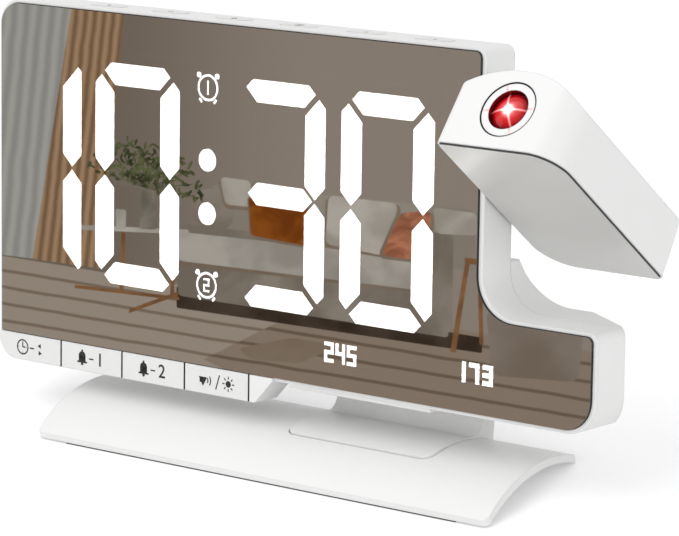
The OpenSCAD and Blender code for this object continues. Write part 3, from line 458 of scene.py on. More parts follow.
def glow(name, colour, strength):
    """A lit diffuser, a touch uneven in its light."""
    mat, tree, out = new_material(name)
    p = add_node(tree, "ShaderNodeBsdfPrincipled")
    p.inputs["Base Color"].default_value = (*colour, 1.0)
    p.inputs["Roughness"].default_value = 0.5
    p.inputs["Emission Color"].default_value = (*colour, 1.0)
    tree.links.new(between(tree, object_noise(tree, 90.0, 2.0), strength * 0.96, strength * 1.04),
                   p.inputs["Emission Strength"])
    tree.links.new(p.outputs["BSDF"], out.inputs["Surface"])
    return mat


def clear_glass(name, colour, roughness):
    """Polished clear glass."""
    mat, tree, out = new_material(name)
    p = add_node(tree, "ShaderNodeBsdfPrincipled", IOR=1.49)
    p.inputs["Base Color"].default_value = (*colour, 1.0)
    p.inputs["Transmission Weight"].default_value = 1.0
    tree.links.new(between(tree, object_noise(tree, 300.0, 2.0), roughness * 0.5, roughness * 1.5),
                   p.inputs["Roughness"])
    tree.links.new(p.outputs["BSDF"], out.inputs["Surface"])
    return mat


def ray_of_light(tree, x, y, turn, width, length):
    """A thin streak through the lens's middle, at that turn, which fades to its ends."""
    cos, sin = math.cos(turn), math.sin(turn)
    along = calc(tree, "ADD", calc(tree, "MULTIPLY", x, cos), calc(tree, "MULTIPLY", y, sin))
    aside = calc(tree, "SUBTRACT", calc(tree, "MULTIPLY", y, cos), calc(tree, "MULTIPLY", x, sin))
    thin = fading(tree, calc(tree, "ABSOLUTE", aside, 0.0), 0.0, width)
    far = fading(tree, calc(tree, "ABSOLUTE", along, 0.0), 0.0, length)
    return calc(tree, "MULTIPLY", thin, far)


def lens_rays(tree, x, y):
    """The four painted rays of light from the lens's middle."""
    flat_ray = ray_of_light(tree, x, y, math.radians(8.0), 0.5, 9.5)
    tall_ray = ray_of_light(tree, x, y, math.radians(116.5), 0.5, 9.5)
    return calc(tree, "MAXIMUM", flat_ray, tall_ray)


def ring_painted_rays(tree):
    """The factor for the lens's rays of light, painted in faint red on the white ring."""
    x, y, _ = from_lens_axis(tree)
    return calc(tree, "MINIMUM", calc(tree, "MULTIPLY", lens_rays(tree, x, y), 1.8), 1.0)


def lens_finish(look):
    """Deep red lens, darker towards its rim, with painted light in its emission: a white spark at its
    middle with four rays, and a red glow that fades outward.
    """
    mat, tree, out = new_material("lens_red")
    p = add_node(tree, "ShaderNodeBsdfPrincipled", IOR=1.5, Roughness=0.1)
    p.inputs["Specular IOR Level"].default_value = 0.2
    p.inputs["Coat Weight"].default_value = 0.35
    p.inputs["Coat Roughness"].default_value = 0.03
    x, y, across = from_lens_axis(tree)
    red = tuple(look.lens_colour)
    cloud = two_tones(tree, object_noise(tree, 420.0, 2.0), red, tuple(c * 0.5 for c in red))
    # 1 at the middle and 0 at the rim: it darkens the base colour towards the rim and spreads the painted
    #                                   red glow
    lit = fading(tree, across, 3.2, 5.4)
    tree.links.new(two_tones(tree, lit, tuple(c * 0.12 for c in red), cloud), p.inputs["Base Color"])
    # A painted white spark of light at the lens's middle
    spark = fading(tree, across, 0.0, 4.4)
    rays = lens_rays(tree, x, y)
    core = calc(tree, "POWER", spark, 3.0)
    white_share = calc(tree, "MINIMUM", calc(tree, "ADD", core, calc(tree, "MULTIPLY", rays, 0.75)), 1.0)
    tree.links.new(two_tones(tree, white_share, (0.80, 0.006, 0.012), (1.0, 0.78, 0.76)),
                   p.inputs["Emission Color"])
    hot = calc(tree, "MULTIPLY", calc(tree, "POWER", spark, 6.0), look.spark_strength)
    warm = calc(tree, "ADD", calc(tree, "MULTIPLY", rays, look.spark_strength * 0.16),
                calc(tree, "MULTIPLY", calc(tree, "ADD", lit, spark), 0.30))
    tree.links.new(calc(tree, "ADD", hot, warm), p.inputs["Emission Strength"])
    tree.links.new(p.outputs["BSDF"], out.inputs["Surface"])
    return mat


# ---- printed marks, drawn flat with x right and y up ----


def at(x, y, turn=0.0):
    return Matrix.Translation((x, y, 0.0)) @ Matrix.Rotation(turn, 4, "Z")


def bar(bm, x, y, wide, high, turn=0.0):
    size = Matrix.Diagonal((wide, high, 1.0, 1.0))
    bmesh.ops.create_grid(bm, x_segments=1, y_segments=1, size=0.5, matrix=at(x, y, turn) @ size)


def disc(bm, x, y, radius, segments=32, turn=0.0):
    made = bmesh.ops.create_circle(bm, cap_ends=True, segments=segments, radius=radius,
                                   matrix=at(x, y, turn))
    return made["verts"][0].link_faces[0]


def hoop(bm, x, y, radius, line):
    middle = disc(bm, x, y, radius)
    bmesh.ops.inset_region(bm, faces=[middle], thickness=line, use_boundary=True)
    bmesh.ops.delete(bm, geom=[middle], context="FACES_ONLY")


def arc(bm, x, y, radius, line, half_angle):
    """The right-hand part of a hoop."""
    known = set(bm.verts)
    hoop(bm, x, y, radius, line)
    gone = [v for v in bm.verts if v not in known and abs(math.atan2(v.co.y - y, v.co.x - x)) > half_angle]
    bmesh.ops.delete(bm, geom=gone, context="VERTS")


def numeral(bm, text, x, y, size):
    """A plain numeral in Blender's own font."""
    curve = bpy.data.curves.new("numeral", "FONT")
    curve.body = text
    curve.size = size
    curve.align_x = "CENTER"
    curve.align_y = "CENTER"
    curve.offset = 0.03
    holder = bpy.data.objects.new("numeral", curve)
    mesh = bpy.data.meshes.new_from_object(holder)
    mesh.transform(at(x, y))
    bm.from_mesh(mesh)
    bpy.data.objects.remove(holder)
    bpy.data.curves.remove(curve)
    bpy.data.meshes.remove(mesh)


def clock_sign(bm, x, y):
    """A dial with two hands and four ticks."""
    hoop(bm, x, y, 1.75, 0.3)
    bar(bm, x, y + 0.48, 0.28, 1.1)
    bar(bm, x + 0.36, y + 0.02, 0.9, 0.28)
    for quarter in range(4):
        turn = math.radians(90.0 * quarter)
        bar(bm, x + 1.22 * math.cos(turn), y + 1.22 * math.sin(turn), 0.26, 0.16, turn)


def bell_sign(bm, x, y):
    """A bell with its clapper."""
    disc(bm, x, y + 0.45, 1.0)
    bar(bm, x, y - 0.2, 2.0, 1.3)
    bar(bm, x, y - 0.95, 2.9, 0.36)
    disc(bm, x, y - 1.35, 0.36, 16)
    disc(bm, x, y + 1.6, 0.26, 16)


def speaker_sign(bm, x, y):
    """A loudspeaker with two waves."""
    bar(bm, x - 1.1, y, 0.8, 1.1)
    disc(bm, x - 0.55, y, 1.35, 3, math.radians(180.0))
    arc(bm, x - 0.1, y, 1.1, 0.28, math.radians(44.0))
    arc(bm, x - 0.1, y, 1.85, 0.28, math.radians(44.0))


def sun_sign(bm, x, y, size=1.0):
    """A sun with eight rays."""
    disc(bm, x, y, 0.72 * size)
    for ray in range(8):
        turn = math.radians(45.0 * ray)
        out = 1.35 * size
        bar(bm, x + out * math.cos(turn), y + out * math.sin(turn), 0.6 * size, 0.26 * size, turn)


def arrow_sign(bm, x, y, up):
    """A small triangle that points up or down."""
    disc(bm, x, y, 0.62, 3, math.radians(90.0 if up else -90.0))


def printed(name, draw, place, mat, body):
    """A thin print on a case face. place goes from the drawing to the case's millimetres."""
    bm = bmesh.new()
    draw(bm)
    made = bmesh.ops.extrude_face_region(bm, geom=list(bm.faces))
    raised = [v for v in made["geom"] if isinstance(v, bmesh.types.BMVert)]
    bmesh.ops.translate(bm, verts=raised, vec=(0.0, 0.0, PRINT_HEIGHT))
    bmesh.ops.transform(bm, matrix=case_matrix() @ place, verts=bm.verts)
    bmesh.ops.recalc_face_normals(bm, faces=bm.faces)
    piece = link_new(name, make_mesh(bm, name, mat))
    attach(piece, body)


# ---- operators ----


class CLOCK_OT_shells(bpy.types.Operator):
    """Finishes the white plastics: case, stand, head, ring and keys"""

    bl_idname = "clock.shells"
    bl_label = "White plastics"

    def execute(self, context):
        look = context.scene.clock_shell
        dress(white_plastic(look, "case_white", look.colour, look.roughness), *CASE_NODES)
        under_mirror = [(mirror_seat, SEAT_BLACK)]
        dress(white_plastic(look, "front_white", look.colour, look.roughness, under_mirror), "front_shell")
        # The bore round the lens's axis is painted black as shade
        bore = [(round_wall(0.0, HEAD_BORE), GAP_SHADE_BLACK)]
        dress(white_plastic(look, "head_white", look.colour, look.roughness, bore), "head_shell")
        rough = look.roughness * 1.2
        # The walls in the gaps between the front keys are painted black as shade
        gaps = [(key_gap_shade, GAP_SHADE_BLACK)]
        dress(white_plastic(look, "key_white", look.key_colour, rough, gaps), *FRONT_KEYS)
        dress(white_plastic(look, "top_key_white", look.key_colour, rough), *TOP_KEYS)
        # The ring's outer wall is painted black as shade, its bore dark red as shade lit by the lens, and
        # the lens's rays are painted in pink across it
        walls = [(ring_painted_rays, PAINTED_RAY_PINK), (round_wall(*RING_OUTSIDE), GAP_SHADE_BLACK),
                 (round_wall(0.0, RING_BORE), BORE_SHADE_RED)]
        dress(white_plastic(look, "ring_white", look.colour, look.roughness * 0.6, walls), "focus_ring")
        return {"FINISHED"}


class CLOCK_OT_mirrors(bpy.types.Operator):
    """Finishes the display's mirror and the head's mirror"""

    bl_idname = "clock.mirrors"
    bl_label = "Mirrors"

    def execute(self, context):
        look = context.scene.clock_mirror
        dress(display_mirror(look), "mirror_panel")
        dress(head_mirror(look), "head_mirror")
        return {"FINISHED"}


class CLOCK_OT_display(bpy.types.Operator):
    """Finishes the display behind the mirror"""

    bl_idname = "clock.display"
    bl_label = "Display"

    def execute(self, context):
        look = context.scene.clock_light
        colour = tuple(look.digit_colour)
        dress(glow("digit_glow", colour, look.digit_strength), "segments_lit", "symbols_lit")
        dress(shaded((0.02, 0.02, 0.02), 0.5, 0.7, 300.0, "digit_unlit"), "segments_off")
        mask = shaded((0.003, 0.003, 0.003), 0.8, 0.95, 120.0, "mask_black", relief=0.00001, shine=0.0)
        dress(mask, "display_mask")
        return {"FINISHED"}


class CLOCK_OT_hardware(bpy.types.Operator):
    """Finishes the screws, hinge and rubber"""

    bl_idname = "clock.hardware"
    bl_label = "Screws, hinge and feet"

    def execute(self, context):
        steel = shaded((0.55, 0.55, 0.56), 0.25, 0.42, 900.0, "plated_steel", metallic=1.0, edge=0.0001,
                       relief=0.000004, relief_scale=3000.0, stretch=(1.0, 1.0, 6.0))
        dress(steel, "neck_screws", "flange_screws", "case_screws", "door_screw", "cover_screws",
              "hinge_bush", "spring_washer", "hinge_shaft", "shaft_clip")
        dress(shaded((0.03, 0.03, 0.03), 0.7, 0.9, 500.0, "foot_rubber", relief=0.00002), "foot_strips")
        return {"FINISHED"}


class CLOCK_OT_electronics(bpy.types.Operator):
    """Finishes the boards and what stands on them"""

    bl_idname = "clock.electronics"
    bl_label = "Electronics"

    def execute(self, context):
        board = shaded((0.015, 0.12, 0.05), 0.3, 0.45, 700.0, "solder_mask", second=(0.02, 0.16, 0.07),
                       relief=0.00001, relief_scale=1500.0)
        dress(board, "display_board", "main_board", "key_board", "top_board", "led_board")
        black = shaded((0.02, 0.02, 0.021), 0.45, 0.65, 400.0, "black_plastic", relief=0.000008)
        dress(black, "main_chips", "coin_holder", "dc_jack", "key_switches", "top_switches", "speaker")
        dress(shaded((0.9, 0.88, 0.72), 0.15, 0.3, 900.0, "led_epoxy", coat=0.5), "display_leds")
        cell = shaded((0.66, 0.65, 0.63), 0.18, 0.3, 600.0, "cell_steel", metallic=1.0, edge=0.0003)
        dress(cell, "coin_cell")
        dress(shaded((0.35, 0.02, 0.02), 0.4, 0.55, 800.0, "wire_red"), "projector_lead")
        return {"FINISHED"}


class CLOCK_OT_projector(bpy.types.Operator):
    """Finishes the projector in the head"""

    bl_idname = "clock.projector"
    bl_label = "Projector"

    def execute(self, context):
        look = context.scene.clock_light
        black = shaded((0.015, 0.015, 0.016), 0.5, 0.7, 400.0, "projector_black", relief=0.000008)
        dress(black, "lens_barrel", "engine_case", "head_cover")
        dress(glow("projector_light", (1.0, 0.12, 0.08), 3.0), "projector_led")
        dress(clear_glass("condenser_glass", (0.95, 0.97, 0.98), 0.02), "condenser_lens")
        dress(shaded((0.03, 0.035, 0.04), 0.05, 0.12, 300.0, "lcd_glass", coat=1.0), "projector_lcd")
        dress(lens_finish(look), "projection_lens")
        return {"FINISHED"}


class CLOCK_OT_key_marks(bpy.types.Operator):
    """Prints a plain sign on each key"""

    bl_idname = "clock.key_marks"
    bl_label = "Key signs"

    def execute(self, context):
        look = context.scene.clock_shell
        ink = shaded(tuple(look.print_colour), 0.45, 0.6, 900.0, "key_print", edge=0.00001)
        x, step, y, z = FRONT_KEY_AT
        upright = Matrix.Rotation(math.radians(90.0), 4, "X")
        for n, draw in enumerate((draw_time, draw_alarm("1"), draw_alarm("2"), draw_volume)):
            place = Matrix.Translation((x + step * n, y, z)) @ upright @ Matrix.Scale(FRONT_SIGN_SCALE, 4)
            printed("sign_key_%d" % (n + 1), draw, place, ink, "key_%d" % (n + 1))
        x, step, y, z = TOP_KEY_AT
        for n, draw in enumerate((draw_dot, draw_minus, draw_plus, draw_sun, draw_up, draw_down)):
            place = Matrix.Translation((x + step * n, y, z))
            printed("sign_top_key_%d" % (n + 1), draw, place, ink, "top_key_%d" % (n + 1))
        return {"FINISHED"}


def draw_time(bm):
    clock_sign(bm, -2.6, 0.0)
    bar(bm, 0.2, 0.0, 1.3, 0.3)
    arrow_sign(bm, 2.6, 0.8, True)
    arrow_sign(bm, 2.6, -0.8, False)


def draw_alarm(text):
    """Makes the drawing of a bell, a dash and a numeral."""
    def draw(bm):
        bell_sign(bm, -2.7, 0.0)
        bar(bm, 0.0, 0.0, 1.3, 0.3)
        numeral(bm, text, 2.6, 0.0, 4.2)
    return draw


def draw_volume(bm):
    speaker_sign(bm, -3.2, 0.0)
    bar(bm, 0.4, 0.0, 0.28, 3.4, math.radians(-18.0))
    sun_sign(bm, 3.4, 0.0)


def draw_dot(bm):
    disc(bm, 0.0, 0.0, 0.5)


def draw_minus(bm):
    bar(bm, 0.0, 0.0, 1.8, 0.4)


def draw_plus(bm):
    bar(bm, 0.0, 0.0, 1.8, 0.4)
    bar(bm, 0.0, 0.55, 0.4, 0.7)
    bar(bm, 0.0, -0.55, 0.4, 0.7)


def draw_sun(bm):
    sun_sign(bm, 0.0, 0.0, 0.8)


def draw_up(bm):
    arrow_sign(bm, 0.0, 0.0, True)


def draw_down(bm):
    arrow_sign(bm, 0.0, 0.0, False)


class CLOCK_OT_stage(bpy.types.Operator):
    """Sets up the floor, the lamps, the surroundings, the mirrored room and the camera"""

    bl_idname = "clock.stage"
    bl_label = "Studio"

    def execute(self, context):
        look = context.scene.clock_stage
        make_floor(look)
        make_world(look)
        make_lamp("lamp_above", (-0.25, -0.15, 0.9), (0.0, 0.03, 0.03), 0.9, look.key_power)
        make_lamp("lamp_left", (-0.9, -0.5, 0.45), (0.0, 0.03, 0.05), 0.7, look.side_power)
        make_lamp("lamp_right", (0.95, -0.2, 0.4), (0.0, 0.03, 0.05), 0.7, look.right_power)
        make_lamp("lamp_front", (0.10, -1.0, 0.32), (0.03, 0.0, 0.02), 0.6, look.front_power)
        make_camera(look)
        make_room(look)
        return {"FINISHED"}


def white_rays(tree):
    """1 for the rays that should meet the plain white: straight, mirrored or through glass."""
    rays = add_node(tree, "ShaderNodeLightPath")
    direct = calc(tree, "MAXIMUM", rays.outputs["Is Camera Ray"], rays.outputs["Is Glossy Ray"])
    return calc(tree, "MAXIMUM", direct, rays.outputs["Is Transmission Ray"])


def make_floor(look):
    """A wide pale floor that keeps the clock's shadow."""
    bm = bmesh.new()
    bmesh.ops.create_grid(bm, x_segments=1, y_segments=1, size=6.0)
    mat, tree, out = new_material("pale_floor")
    diffuse = add_node(tree, "ShaderNodeBsdfDiffuse")
    diffuse.inputs["Color"].default_value = (*look.floor_colour, 1.0)
    lift = add_node(tree, "ShaderNodeEmission", Strength=FLOOR_LIFT)
    both = add_node(tree, "ShaderNodeAddShader")
    pick = add_node(tree, "ShaderNodeMixShader")
    tree.links.new(diffuse.outputs["BSDF"], both.inputs[0])
    tree.links.new(lift.outputs["Emission"], both.inputs[1])
    tree.links.new(white_rays(tree), pick.inputs["Fac"])
    tree.links.new(diffuse.outputs["BSDF"], pick.inputs[1])
    tree.links.new(both.outputs["Shader"], pick.inputs[2])
    tree.links.new(pick.outputs["Shader"], out.inputs["Surface"])
    floor = link_new("floor", make_mesh(bm, "floor", mat))


def make_world(look):
    """Soft even light all round, and plain white for the rays that should meet it."""
    world = bpy.data.worlds.new("surroundings")
    bpy.context.scene.world = world
    world.use_nodes = True
    tree = world.node_tree
    tree.nodes.clear()
    out = tree.nodes.new("ShaderNodeOutputWorld")
    light = add_node(tree, "ShaderNodeBackground", Strength=look.world_strength)
    white = add_node(tree, "ShaderNodeBackground", Strength=1.0)
    pick = add_node(tree, "ShaderNodeMixShader")
    tree.links.new(white_rays(tree), pick.inputs["Fac"])
    tree.links.new(light.outputs["Background"], pick.inputs[1])
    tree.links.new(white.outputs["Background"], pick.inputs[2])
    tree.links.new(pick.outputs["Shader"], out.inputs["Surface"])


def make_lamp(name, place, target, size, power):
    """A round soft lamp that points at a target."""
    lamp = bpy.data.lights.new(name, "AREA")
    lamp.shape = "DISK"
    lamp.size = size
    lamp.energy = power
    obj = link_new(name, lamp)
    obj.location = place
    obj.rotation_euler = (Vector(target) - Vector(place)).to_track_quat("-Z", "Y").to_euler()


def make_camera(look):
    """The view from the front right, a little above."""
    data = bpy.data.cameras.new("camera")
    data.lens = look.lens
    data.sensor_width = SENSOR_WIDTH
    data.shift_x, data.shift_y = CAMERA_SHIFT
    data.clip_start = 0.05
    data.clip_end = 50.0
    camera = link_new("camera", data)
    camera.location = look.camera_place
    camera.rotation_euler = look.camera_turn
    bpy.context.scene.camera = camera
    bpy.context.scene.view_settings.view_transform = "Standard"


# ---- the room in the mirror: flat cards that only mirrored rays meet ----


def room_finish(look, name, first, second, scale=30.0, folds=0.0, seams=0.0, turn=0.0, crease=0.0,
                fade=()):
    """A tone with clouds or creases, soft folds, boards with dark seams, or a fade from left to right."""
    mat, tree, out = new_material("room_" + name)
    where = add_node(tree, "ShaderNodeUVMap").outputs["UV"]
    if fade:
        split = add_node(tree, "ShaderNodeSeparateXYZ")
        tree.links.new(where, split.inputs["Vector"])
        factor = fading(tree, split.outputs["X"], *fade)
    else:
        turned = add_node(tree, "ShaderNodeMapping")
        turned.inputs["Rotation"].default_value = (0.0, 0.0, turn)
        tree.links.new(where, turned.inputs["Vector"])
        if folds or seams:
            pattern = add_node(tree, "ShaderNodeTexWave", bands_direction="X" if folds else "Y",
                               Scale=folds or seams, Distortion=1.1 if folds else 0.6, Detail=2.0)
        else:
            pattern = add_node(tree, "ShaderNodeTexNoise", Scale=scale, Detail=4.0, Distortion=crease)
        tree.links.new(turned.outputs["Vector"], pattern.inputs["Vector"])
        factor = pattern.outputs["Fac"]
        if seams:
            factor = fading(tree, factor, 0.01, 0.16)
        elif not folds:
            factor = fading(tree, factor, 0.34, 0.66)
    glowing = add_node(tree, "ShaderNodeEmission", Strength=look.room_strength)
    tree.links.new(two_tones(tree, factor, first, second), glowing.inputs["Color"])
    tree.links.new(glowing.outputs["Emission"], out.inputs["Surface"])
    return mat


def only_mirrored(name, mesh):
    """Links a card that only mirrored rays meet, and keeps it out of the object."""
    obj = link_new(name, mesh)
    obj.visible_camera = False
    obj.visible_diffuse = False
    obj.visible_transmission = False
    obj.visible_volume_scatter = False
    obj.visible_shadow = False


def mirrored_view(look, depth):
    """From a card's drawing at this depth to the world, as the display's mirror turns the camera's view.

    The drawing is in hundredths of the view's width, from its bottom left corner.
    """
    face = display_front()
    flip = Matrix.Identity(3) - 2.0 * Matrix([[a * b for b in face] for a in face])
    turn = Euler(look.camera_turn).to_matrix()
    place = Vector(look.camera_place)
    place -= 2.0 * (place - CASE_CORNER).dot(face) * face
    step = depth * 0.01 * SENSOR_WIDTH / look.lens
    right, up, ahead = flip @ turn.col[0], flip @ turn.col[1], -(flip @ turn.col[2])
    corner = place + ahead * depth - (right * VIEW_MIDDLE[0] + up * VIEW_MIDDLE[1]) * step
    axes = Matrix((right * step, up * step, ahead * step)).transposed().to_4x4()
    return Matrix.Translation(corner) @ axes


def room_card(look, name, mat, depth, outline, soft=0.0):
    """A flat shape across the mirrored view, with its corners rounded by soft."""
    bm = bmesh.new()
    bm.faces.new([bm.verts.new((x, y, 0.0)) for x, y in outline])
    if soft:
        bmesh.ops.bevel(bm, geom=list(bm.verts), offset=soft, offset_type="OFFSET", segments=5, profile=0.5,
                        affect="VERTICES", material=-1)
    finish_card(look, bm, name, mat, depth)


def finish_card(look, bm, name, mat, depth):
    """Gives a drawn card its pattern coordinates and its place, and links it."""
    layer = bm.loops.layers.uv.new("UVMap")
    for face in bm.faces:
        for loop in face.loops:
            loop[layer].uv = loop.vert.co.xy * 0.01
    bmesh.ops.transform(bm, matrix=mirrored_view(look, depth), verts=bm.verts)
    only_mirrored(name, make_mesh(bm, name, mat))


def room_wall(look):
    """A tall curved wall far round the front, for views from other sides."""
    bm = bmesh.new()
    bmesh.ops.create_circle(bm, segments=96, radius=3.0)
    made = bmesh.ops.extrude_edge_only(bm, edges=list(bm.edges))
    raised = [v for v in made["geom"] if isinstance(v, bmesh.types.BMVert)]
    bmesh.ops.translate(bm, verts=raised, vec=(0.0, 0.0, 2.6))
    everything = list(bm.verts) + list(bm.edges) + list(bm.faces)
    bmesh.ops.bisect_plane(bm, geom=everything, plane_co=(0.0, 0.4, 0.0), plane_no=(0.0, 1.0, 0.0),
                           clear_outer=True)
    layer = bm.loops.layers.uv.new("UVMap")
    for face in bm.faces:
        for loop in face.loops:
            loop[layer].uv = (math.atan2(loop.vert.co.x, -loop.vert.co.y), loop.vert.co.z)
    mat = room_finish(look, "wall_round", (0.195, 0.162, 0.133), (0.225, 0.190, 0.160), 0.8)
    only_mirrored("room_wall_round", make_mesh(bm, "room_wall_round", mat))


def room_plant(look, mat, depth):
    """Twigs that fan out of the vase, with leaves along them."""
    bm = bmesh.new()
    draw = random.Random(7)
    for n in range(13):
        turn = math.radians(4.0 + 14.0 * n)
        length = 5.6 + 3.0 * abs(math.cos(turn))
        for k in range(15):
            along = length * (0.22 + 0.055 * k)
            x = along * math.cos(turn) + draw.uniform(-0.65, 0.65)
            y = along * math.sin(turn) - TWIG_DROOP * x + draw.uniform(-0.65, 0.65)
            leaf = Matrix.Diagonal((draw.uniform(0.4, 0.75), draw.uniform(0.15, 0.27), 1.0, 1.0))
            where = at(VASE_MOUTH[0] + x, VASE_MOUTH[1] + y, draw.uniform(0.0, math.pi))
            bmesh.ops.create_circle(bm, cap_ends=True, segments=8, radius=1.0, matrix=where @ leaf)
        reach = 0.8 * length
        lean = math.atan2(math.sin(turn) - TWIG_DROOP * math.cos(turn), math.cos(turn))
        x = VASE_MOUTH[0] + 0.5 * reach * math.cos(lean)
        y = VASE_MOUTH[1] - 0.2 + 0.5 * reach * math.sin(lean)
        bar(bm, x, y, reach, 0.12, lean)
    finish_card(look, bm, "room_plant", mat, depth)


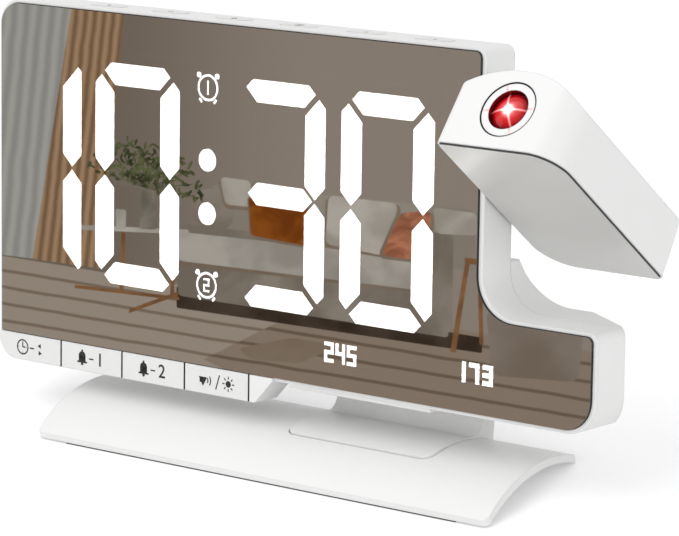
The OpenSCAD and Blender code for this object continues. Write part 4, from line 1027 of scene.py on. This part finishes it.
def make_room(look):
    """A plain living room: wall, curtains, floor boards, sofa with cushions, round table and a stool."""
    room_wall(look)
    wall = room_finish(look, "wall", (0.222, 0.190, 0.161), (0.132, 0.107, 0.087), fade=(0.10, 0.48))
    boards = room_finish(look, "boards", (0.262, 0.222, 0.186), (0.155, 0.120, 0.092), seams=13.0,
                         turn=math.radians(9.5))
    dark_boards = room_finish(look, "dark_boards", (0.205, 0.162, 0.127), (0.118, 0.086, 0.063), seams=12.0,
                              turn=math.radians(9.5))
    sheer = room_finish(look, "sheer", (0.222, 0.222, 0.213), (0.300, 0.302, 0.290), folds=17.0, turn=0.10)
    curtain = room_finish(look, "curtain", (0.150, 0.090, 0.050), (0.300, 0.196, 0.118), folds=23.0,
                          turn=0.11)
    linen = room_finish(look, "linen", (0.340, 0.320, 0.290), (0.235, 0.218, 0.194), 11.0, crease=0.5)
    rest = room_finish(look, "rest", (0.250, 0.224, 0.190), (0.196, 0.172, 0.144), 8.0, crease=0.4)
    shade = room_finish(look, "shade", (0.215, 0.190, 0.163), (0.145, 0.122, 0.100), 9.0, crease=0.5)
    orange = room_finish(look, "orange", (0.215, 0.063, 0.009), (0.125, 0.032, 0.005), 18.0, crease=1.0)
    peach = room_finish(look, "peach", (0.370, 0.150, 0.085), (0.200, 0.070, 0.037), 30.0, crease=1.5)
    wood = room_finish(look, "wood", (0.200, 0.100, 0.045), (0.130, 0.065, 0.030), 30.0)
    pale = room_finish(look, "pale", (0.370, 0.345, 0.310), (0.265, 0.240, 0.208), 14.0, crease=0.6)
    grey = room_finish(look, "grey", (0.195, 0.165, 0.140), (0.145, 0.114, 0.091), 6.0)
    # Tones for painted shadow under the sofa and for painted shade in the room
    dark = room_finish(look, "dark", (0.028, 0.019, 0.013), (0.055, 0.039, 0.029), 14.0)
    mid = room_finish(look, "mid", (0.150, 0.112, 0.082), (0.180, 0.140, 0.106), 14.0)
    leaf = room_finish(look, "leaf", (0.022, 0.028, 0.010), (0.090, 0.100, 0.044), 60.0)
    glass = room_finish(look, "glass", (0.115, 0.100, 0.080), (0.190, 0.170, 0.145), 25.0)
    # The cards named for shade, the seat's fold and gap, and the dark band under the sofa are painted shade
    # and shadow
    cards = (
        ("back_wall", wall, 2.34, ((-20, 25), (120, 25), (120, 95), (-20, 95)), 0.0),
        ("floor_boards", boards, 2.33, ((-3, 41.8), (89, 26.8), (112, 23), (112, 4), (-3, 4)), 0.0),
        ("floor_right", dark_boards, 2.325,
         ((46, 34), (89, 26.8), (112, 23), (112, 4), (76, 4), (30, 26)), 0.0),
        ("floor_shade", mid, 2.322,
         ((35.0, 27.6), (43.0, 29.2), (50.0, 28.0), (44.0, 25.4), (37.0, 26.0)), 0.9),
        ("sheer", sheer, 2.32, ((-3, 82), (11.8, 82), (5.2, 40.8), (-3, 41.8)), 0.0),
        ("curtain", curtain, 2.31, ((11.2, 82), (18.8, 82), (14.6, 39.4), (4.8, 40.8)), 0.0),
        ("sofa_shadow", dark, 2.30, ((26.0, 36.8), (71, 29.2), (71, 26.9), (26, 33.6)), 0.3),
        ("sofa_back", rest, 2.29, ((31.2, 51.9), (69.8, 48.0), (70.4, 39.0), (29.0, 43.0)), 1.2),
        ("sofa_base", shade, 2.28, ((25.9, 41.0), (66.4, 35.8), (66.0, 29.2), (26.3, 35.4)), 0.5),
        ("seat_gap_shade", mid, 2.275, ((26.0, 41.0), (66.4, 36.2), (66.4, 35.3), (26.0, 40.0)), 0.2),
        ("seat_fold", shade, 2.268, ((26.4, 46.0), (66.6, 41.6), (66.6, 40.4), (26.4, 44.8)), 0.4),
        ("sofa_seat", linen, 2.27, ((26.0, 45.2), (66.2, 40.6), (66.4, 35.6), (25.8, 40.6)), 1.3),
        ("sofa_arm", shade, 2.26, ((63.4, 44.8), (66.8, 44.4), (66.6, 29.9), (63.6, 30.4)), 0.8),
        ("bolster", shade, 2.25, ((28.6, 51.2), (34.2, 51.0), (34.4, 45.0), (28.8, 45.2)), 2.0),
        ("shade_pillow", mid, 2.245, ((32.0, 52.6), (37.2, 52.0), (37.8, 47.8), (33.0, 48.2)), 0.7),
        ("pillow_back", pale, 2.24, ((32.4, 52.9), (36.9, 52.3), (37.3, 48.4), (33.2, 48.8)), 0.7),
        ("shade_orange", mid, 2.235, ((36.4, 50.0), (45.8, 48.6), (46.2, 42.2), (36.8, 43.8)), 0.6),
        ("cushion_orange", orange, 2.23, ((36.6, 50.2), (45.2, 48.8), (45.5, 42.6), (36.9, 44.3)), 0.6),
        ("shade_pale", mid, 2.225, ((48.0, 50.0), (59.2, 48.7), (57.4, 40.8), (47.6, 42.5)), 0.9),
        ("cushion_pale", pale, 2.22, ((48.4, 50.2), (58.7, 48.9), (56.8, 41.2), (47.9, 43.0)), 0.9),
        ("shade_peach", mid, 2.215, ((58.4, 47.6), (64.2, 47.8), (63.2, 40.0), (55.5, 40.9)), 1.2),
        ("cushion_peach", peach, 2.21, ((59.0, 47.6), (63.6, 47.9), (62.7, 40.4), (56.1, 41.3)), 1.2),
        ("pillow_right", pale, 2.20, ((63.8, 48.4), (70.2, 47.5), (70.4, 44.2), (64.2, 44.5)), 0.8),
        ("side_leg_1", wood, 2.19, ((68.5, 40.2), (69.2, 40.2), (67.1, 27.0), (66.3, 27.1)), 0.0),
        ("side_leg_2", wood, 2.19, ((70.3, 40.6), (71.0, 40.6), (71.2, 28.2), (70.6, 28.2)), 0.0),
        ("side_rail", wood, 2.19, ((68.4, 41.0), (71.4, 40.7), (71.4, 39.8), (68.5, 40.1)), 0.0),
        ("stool", grey, 2.18, ((71.6, 33.4), (86.0, 31.0), (85.2, 22.6), (72.4, 23.6)), 1.4),
        ("table_leg_1", wood, 2.17, ((17.9, 45.0), (18.5, 45.0), (18.2, 36.2), (17.6, 36.2)), 0.0),
        ("table_leg_2", wood, 2.17, ((24.9, 45.0), (25.5, 45.0), (25.7, 35.4), (25.1, 35.4)), 0.0),
        ("table_foot_1", wood, 2.16, ((11.0, 37.0), (26.4, 35.2), (26.4, 34.7), (11.0, 36.5)), 0.0),
        ("table_foot_2", wood, 2.16, ((19.0, 33.4), (26.2, 36.0), (26.2, 35.4), (19.0, 32.8)), 0.0),
        ("table_top", pale, 2.15, ((11.8, 45.8), (27.8, 45.1), (27.8, 44.4), (11.8, 45.1)), 0.3),
        ("cup_1", pale, 2.14, ((15.3, 47.4), (16.6, 47.4), (16.5, 45.4), (15.4, 45.4)), 0.2),
        ("cup_2", linen, 2.14, ((17.0, 48.2), (18.6, 48.0), (18.5, 45.2), (17.1, 45.3)), 0.3),
        ("vase", glass, 2.14, ((20.9, 51.0), (22.7, 50.9), (23.1, 45.1), (20.5, 45.2)), 0.4),
    )
    for name, mat, depth, outline, soft in cards:
        room_card(look, "room_" + name, mat, depth, outline, soft)
    room_plant(look, leaf, 2.13)


class CLOCK_PT_panel(bpy.types.Panel):
    """The clock's pieces, in the 3D view's sidebar."""

    bl_idname = "CLOCK_PT_panel"
    bl_label = "Projection clock"
    bl_space_type = "VIEW_3D"
    bl_region_type = "UI"
    bl_category = "Clock"

    def draw(self, context):
        for step in STEPS:
            self.layout.operator(step.bl_idname)


STEPS = [
    CLOCK_OT_shells, CLOCK_OT_mirrors, CLOCK_OT_display, CLOCK_OT_hardware, CLOCK_OT_electronics,
    CLOCK_OT_projector, CLOCK_OT_key_marks, CLOCK_OT_stage,
]
LOOKS = {
    "clock_shell": ClockShellLook, "clock_mirror": ClockMirrorLook, "clock_light": ClockLightLook,
    "clock_stage": ClockStageLook,
}


def register():
    for cls in (*LOOKS.values(), *STEPS, CLOCK_PT_panel):
        bpy.utils.register_class(cls)
    for name, cls in LOOKS.items():
        setattr(bpy.types.Scene, name, bpy.props.PointerProperty(type=cls))


def unregister():
    for name in LOOKS:
        delattr(bpy.types.Scene, name)
    for cls in reversed((*LOOKS.values(), *STEPS, CLOCK_PT_panel)):
        bpy.utils.unregister_class(cls)


def main():
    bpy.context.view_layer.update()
    register()
    for step in STEPS:
        group, name = step.bl_idname.split(".")
        getattr(getattr(bpy.ops, group), name)()


if __name__ == "__main__":
    main()
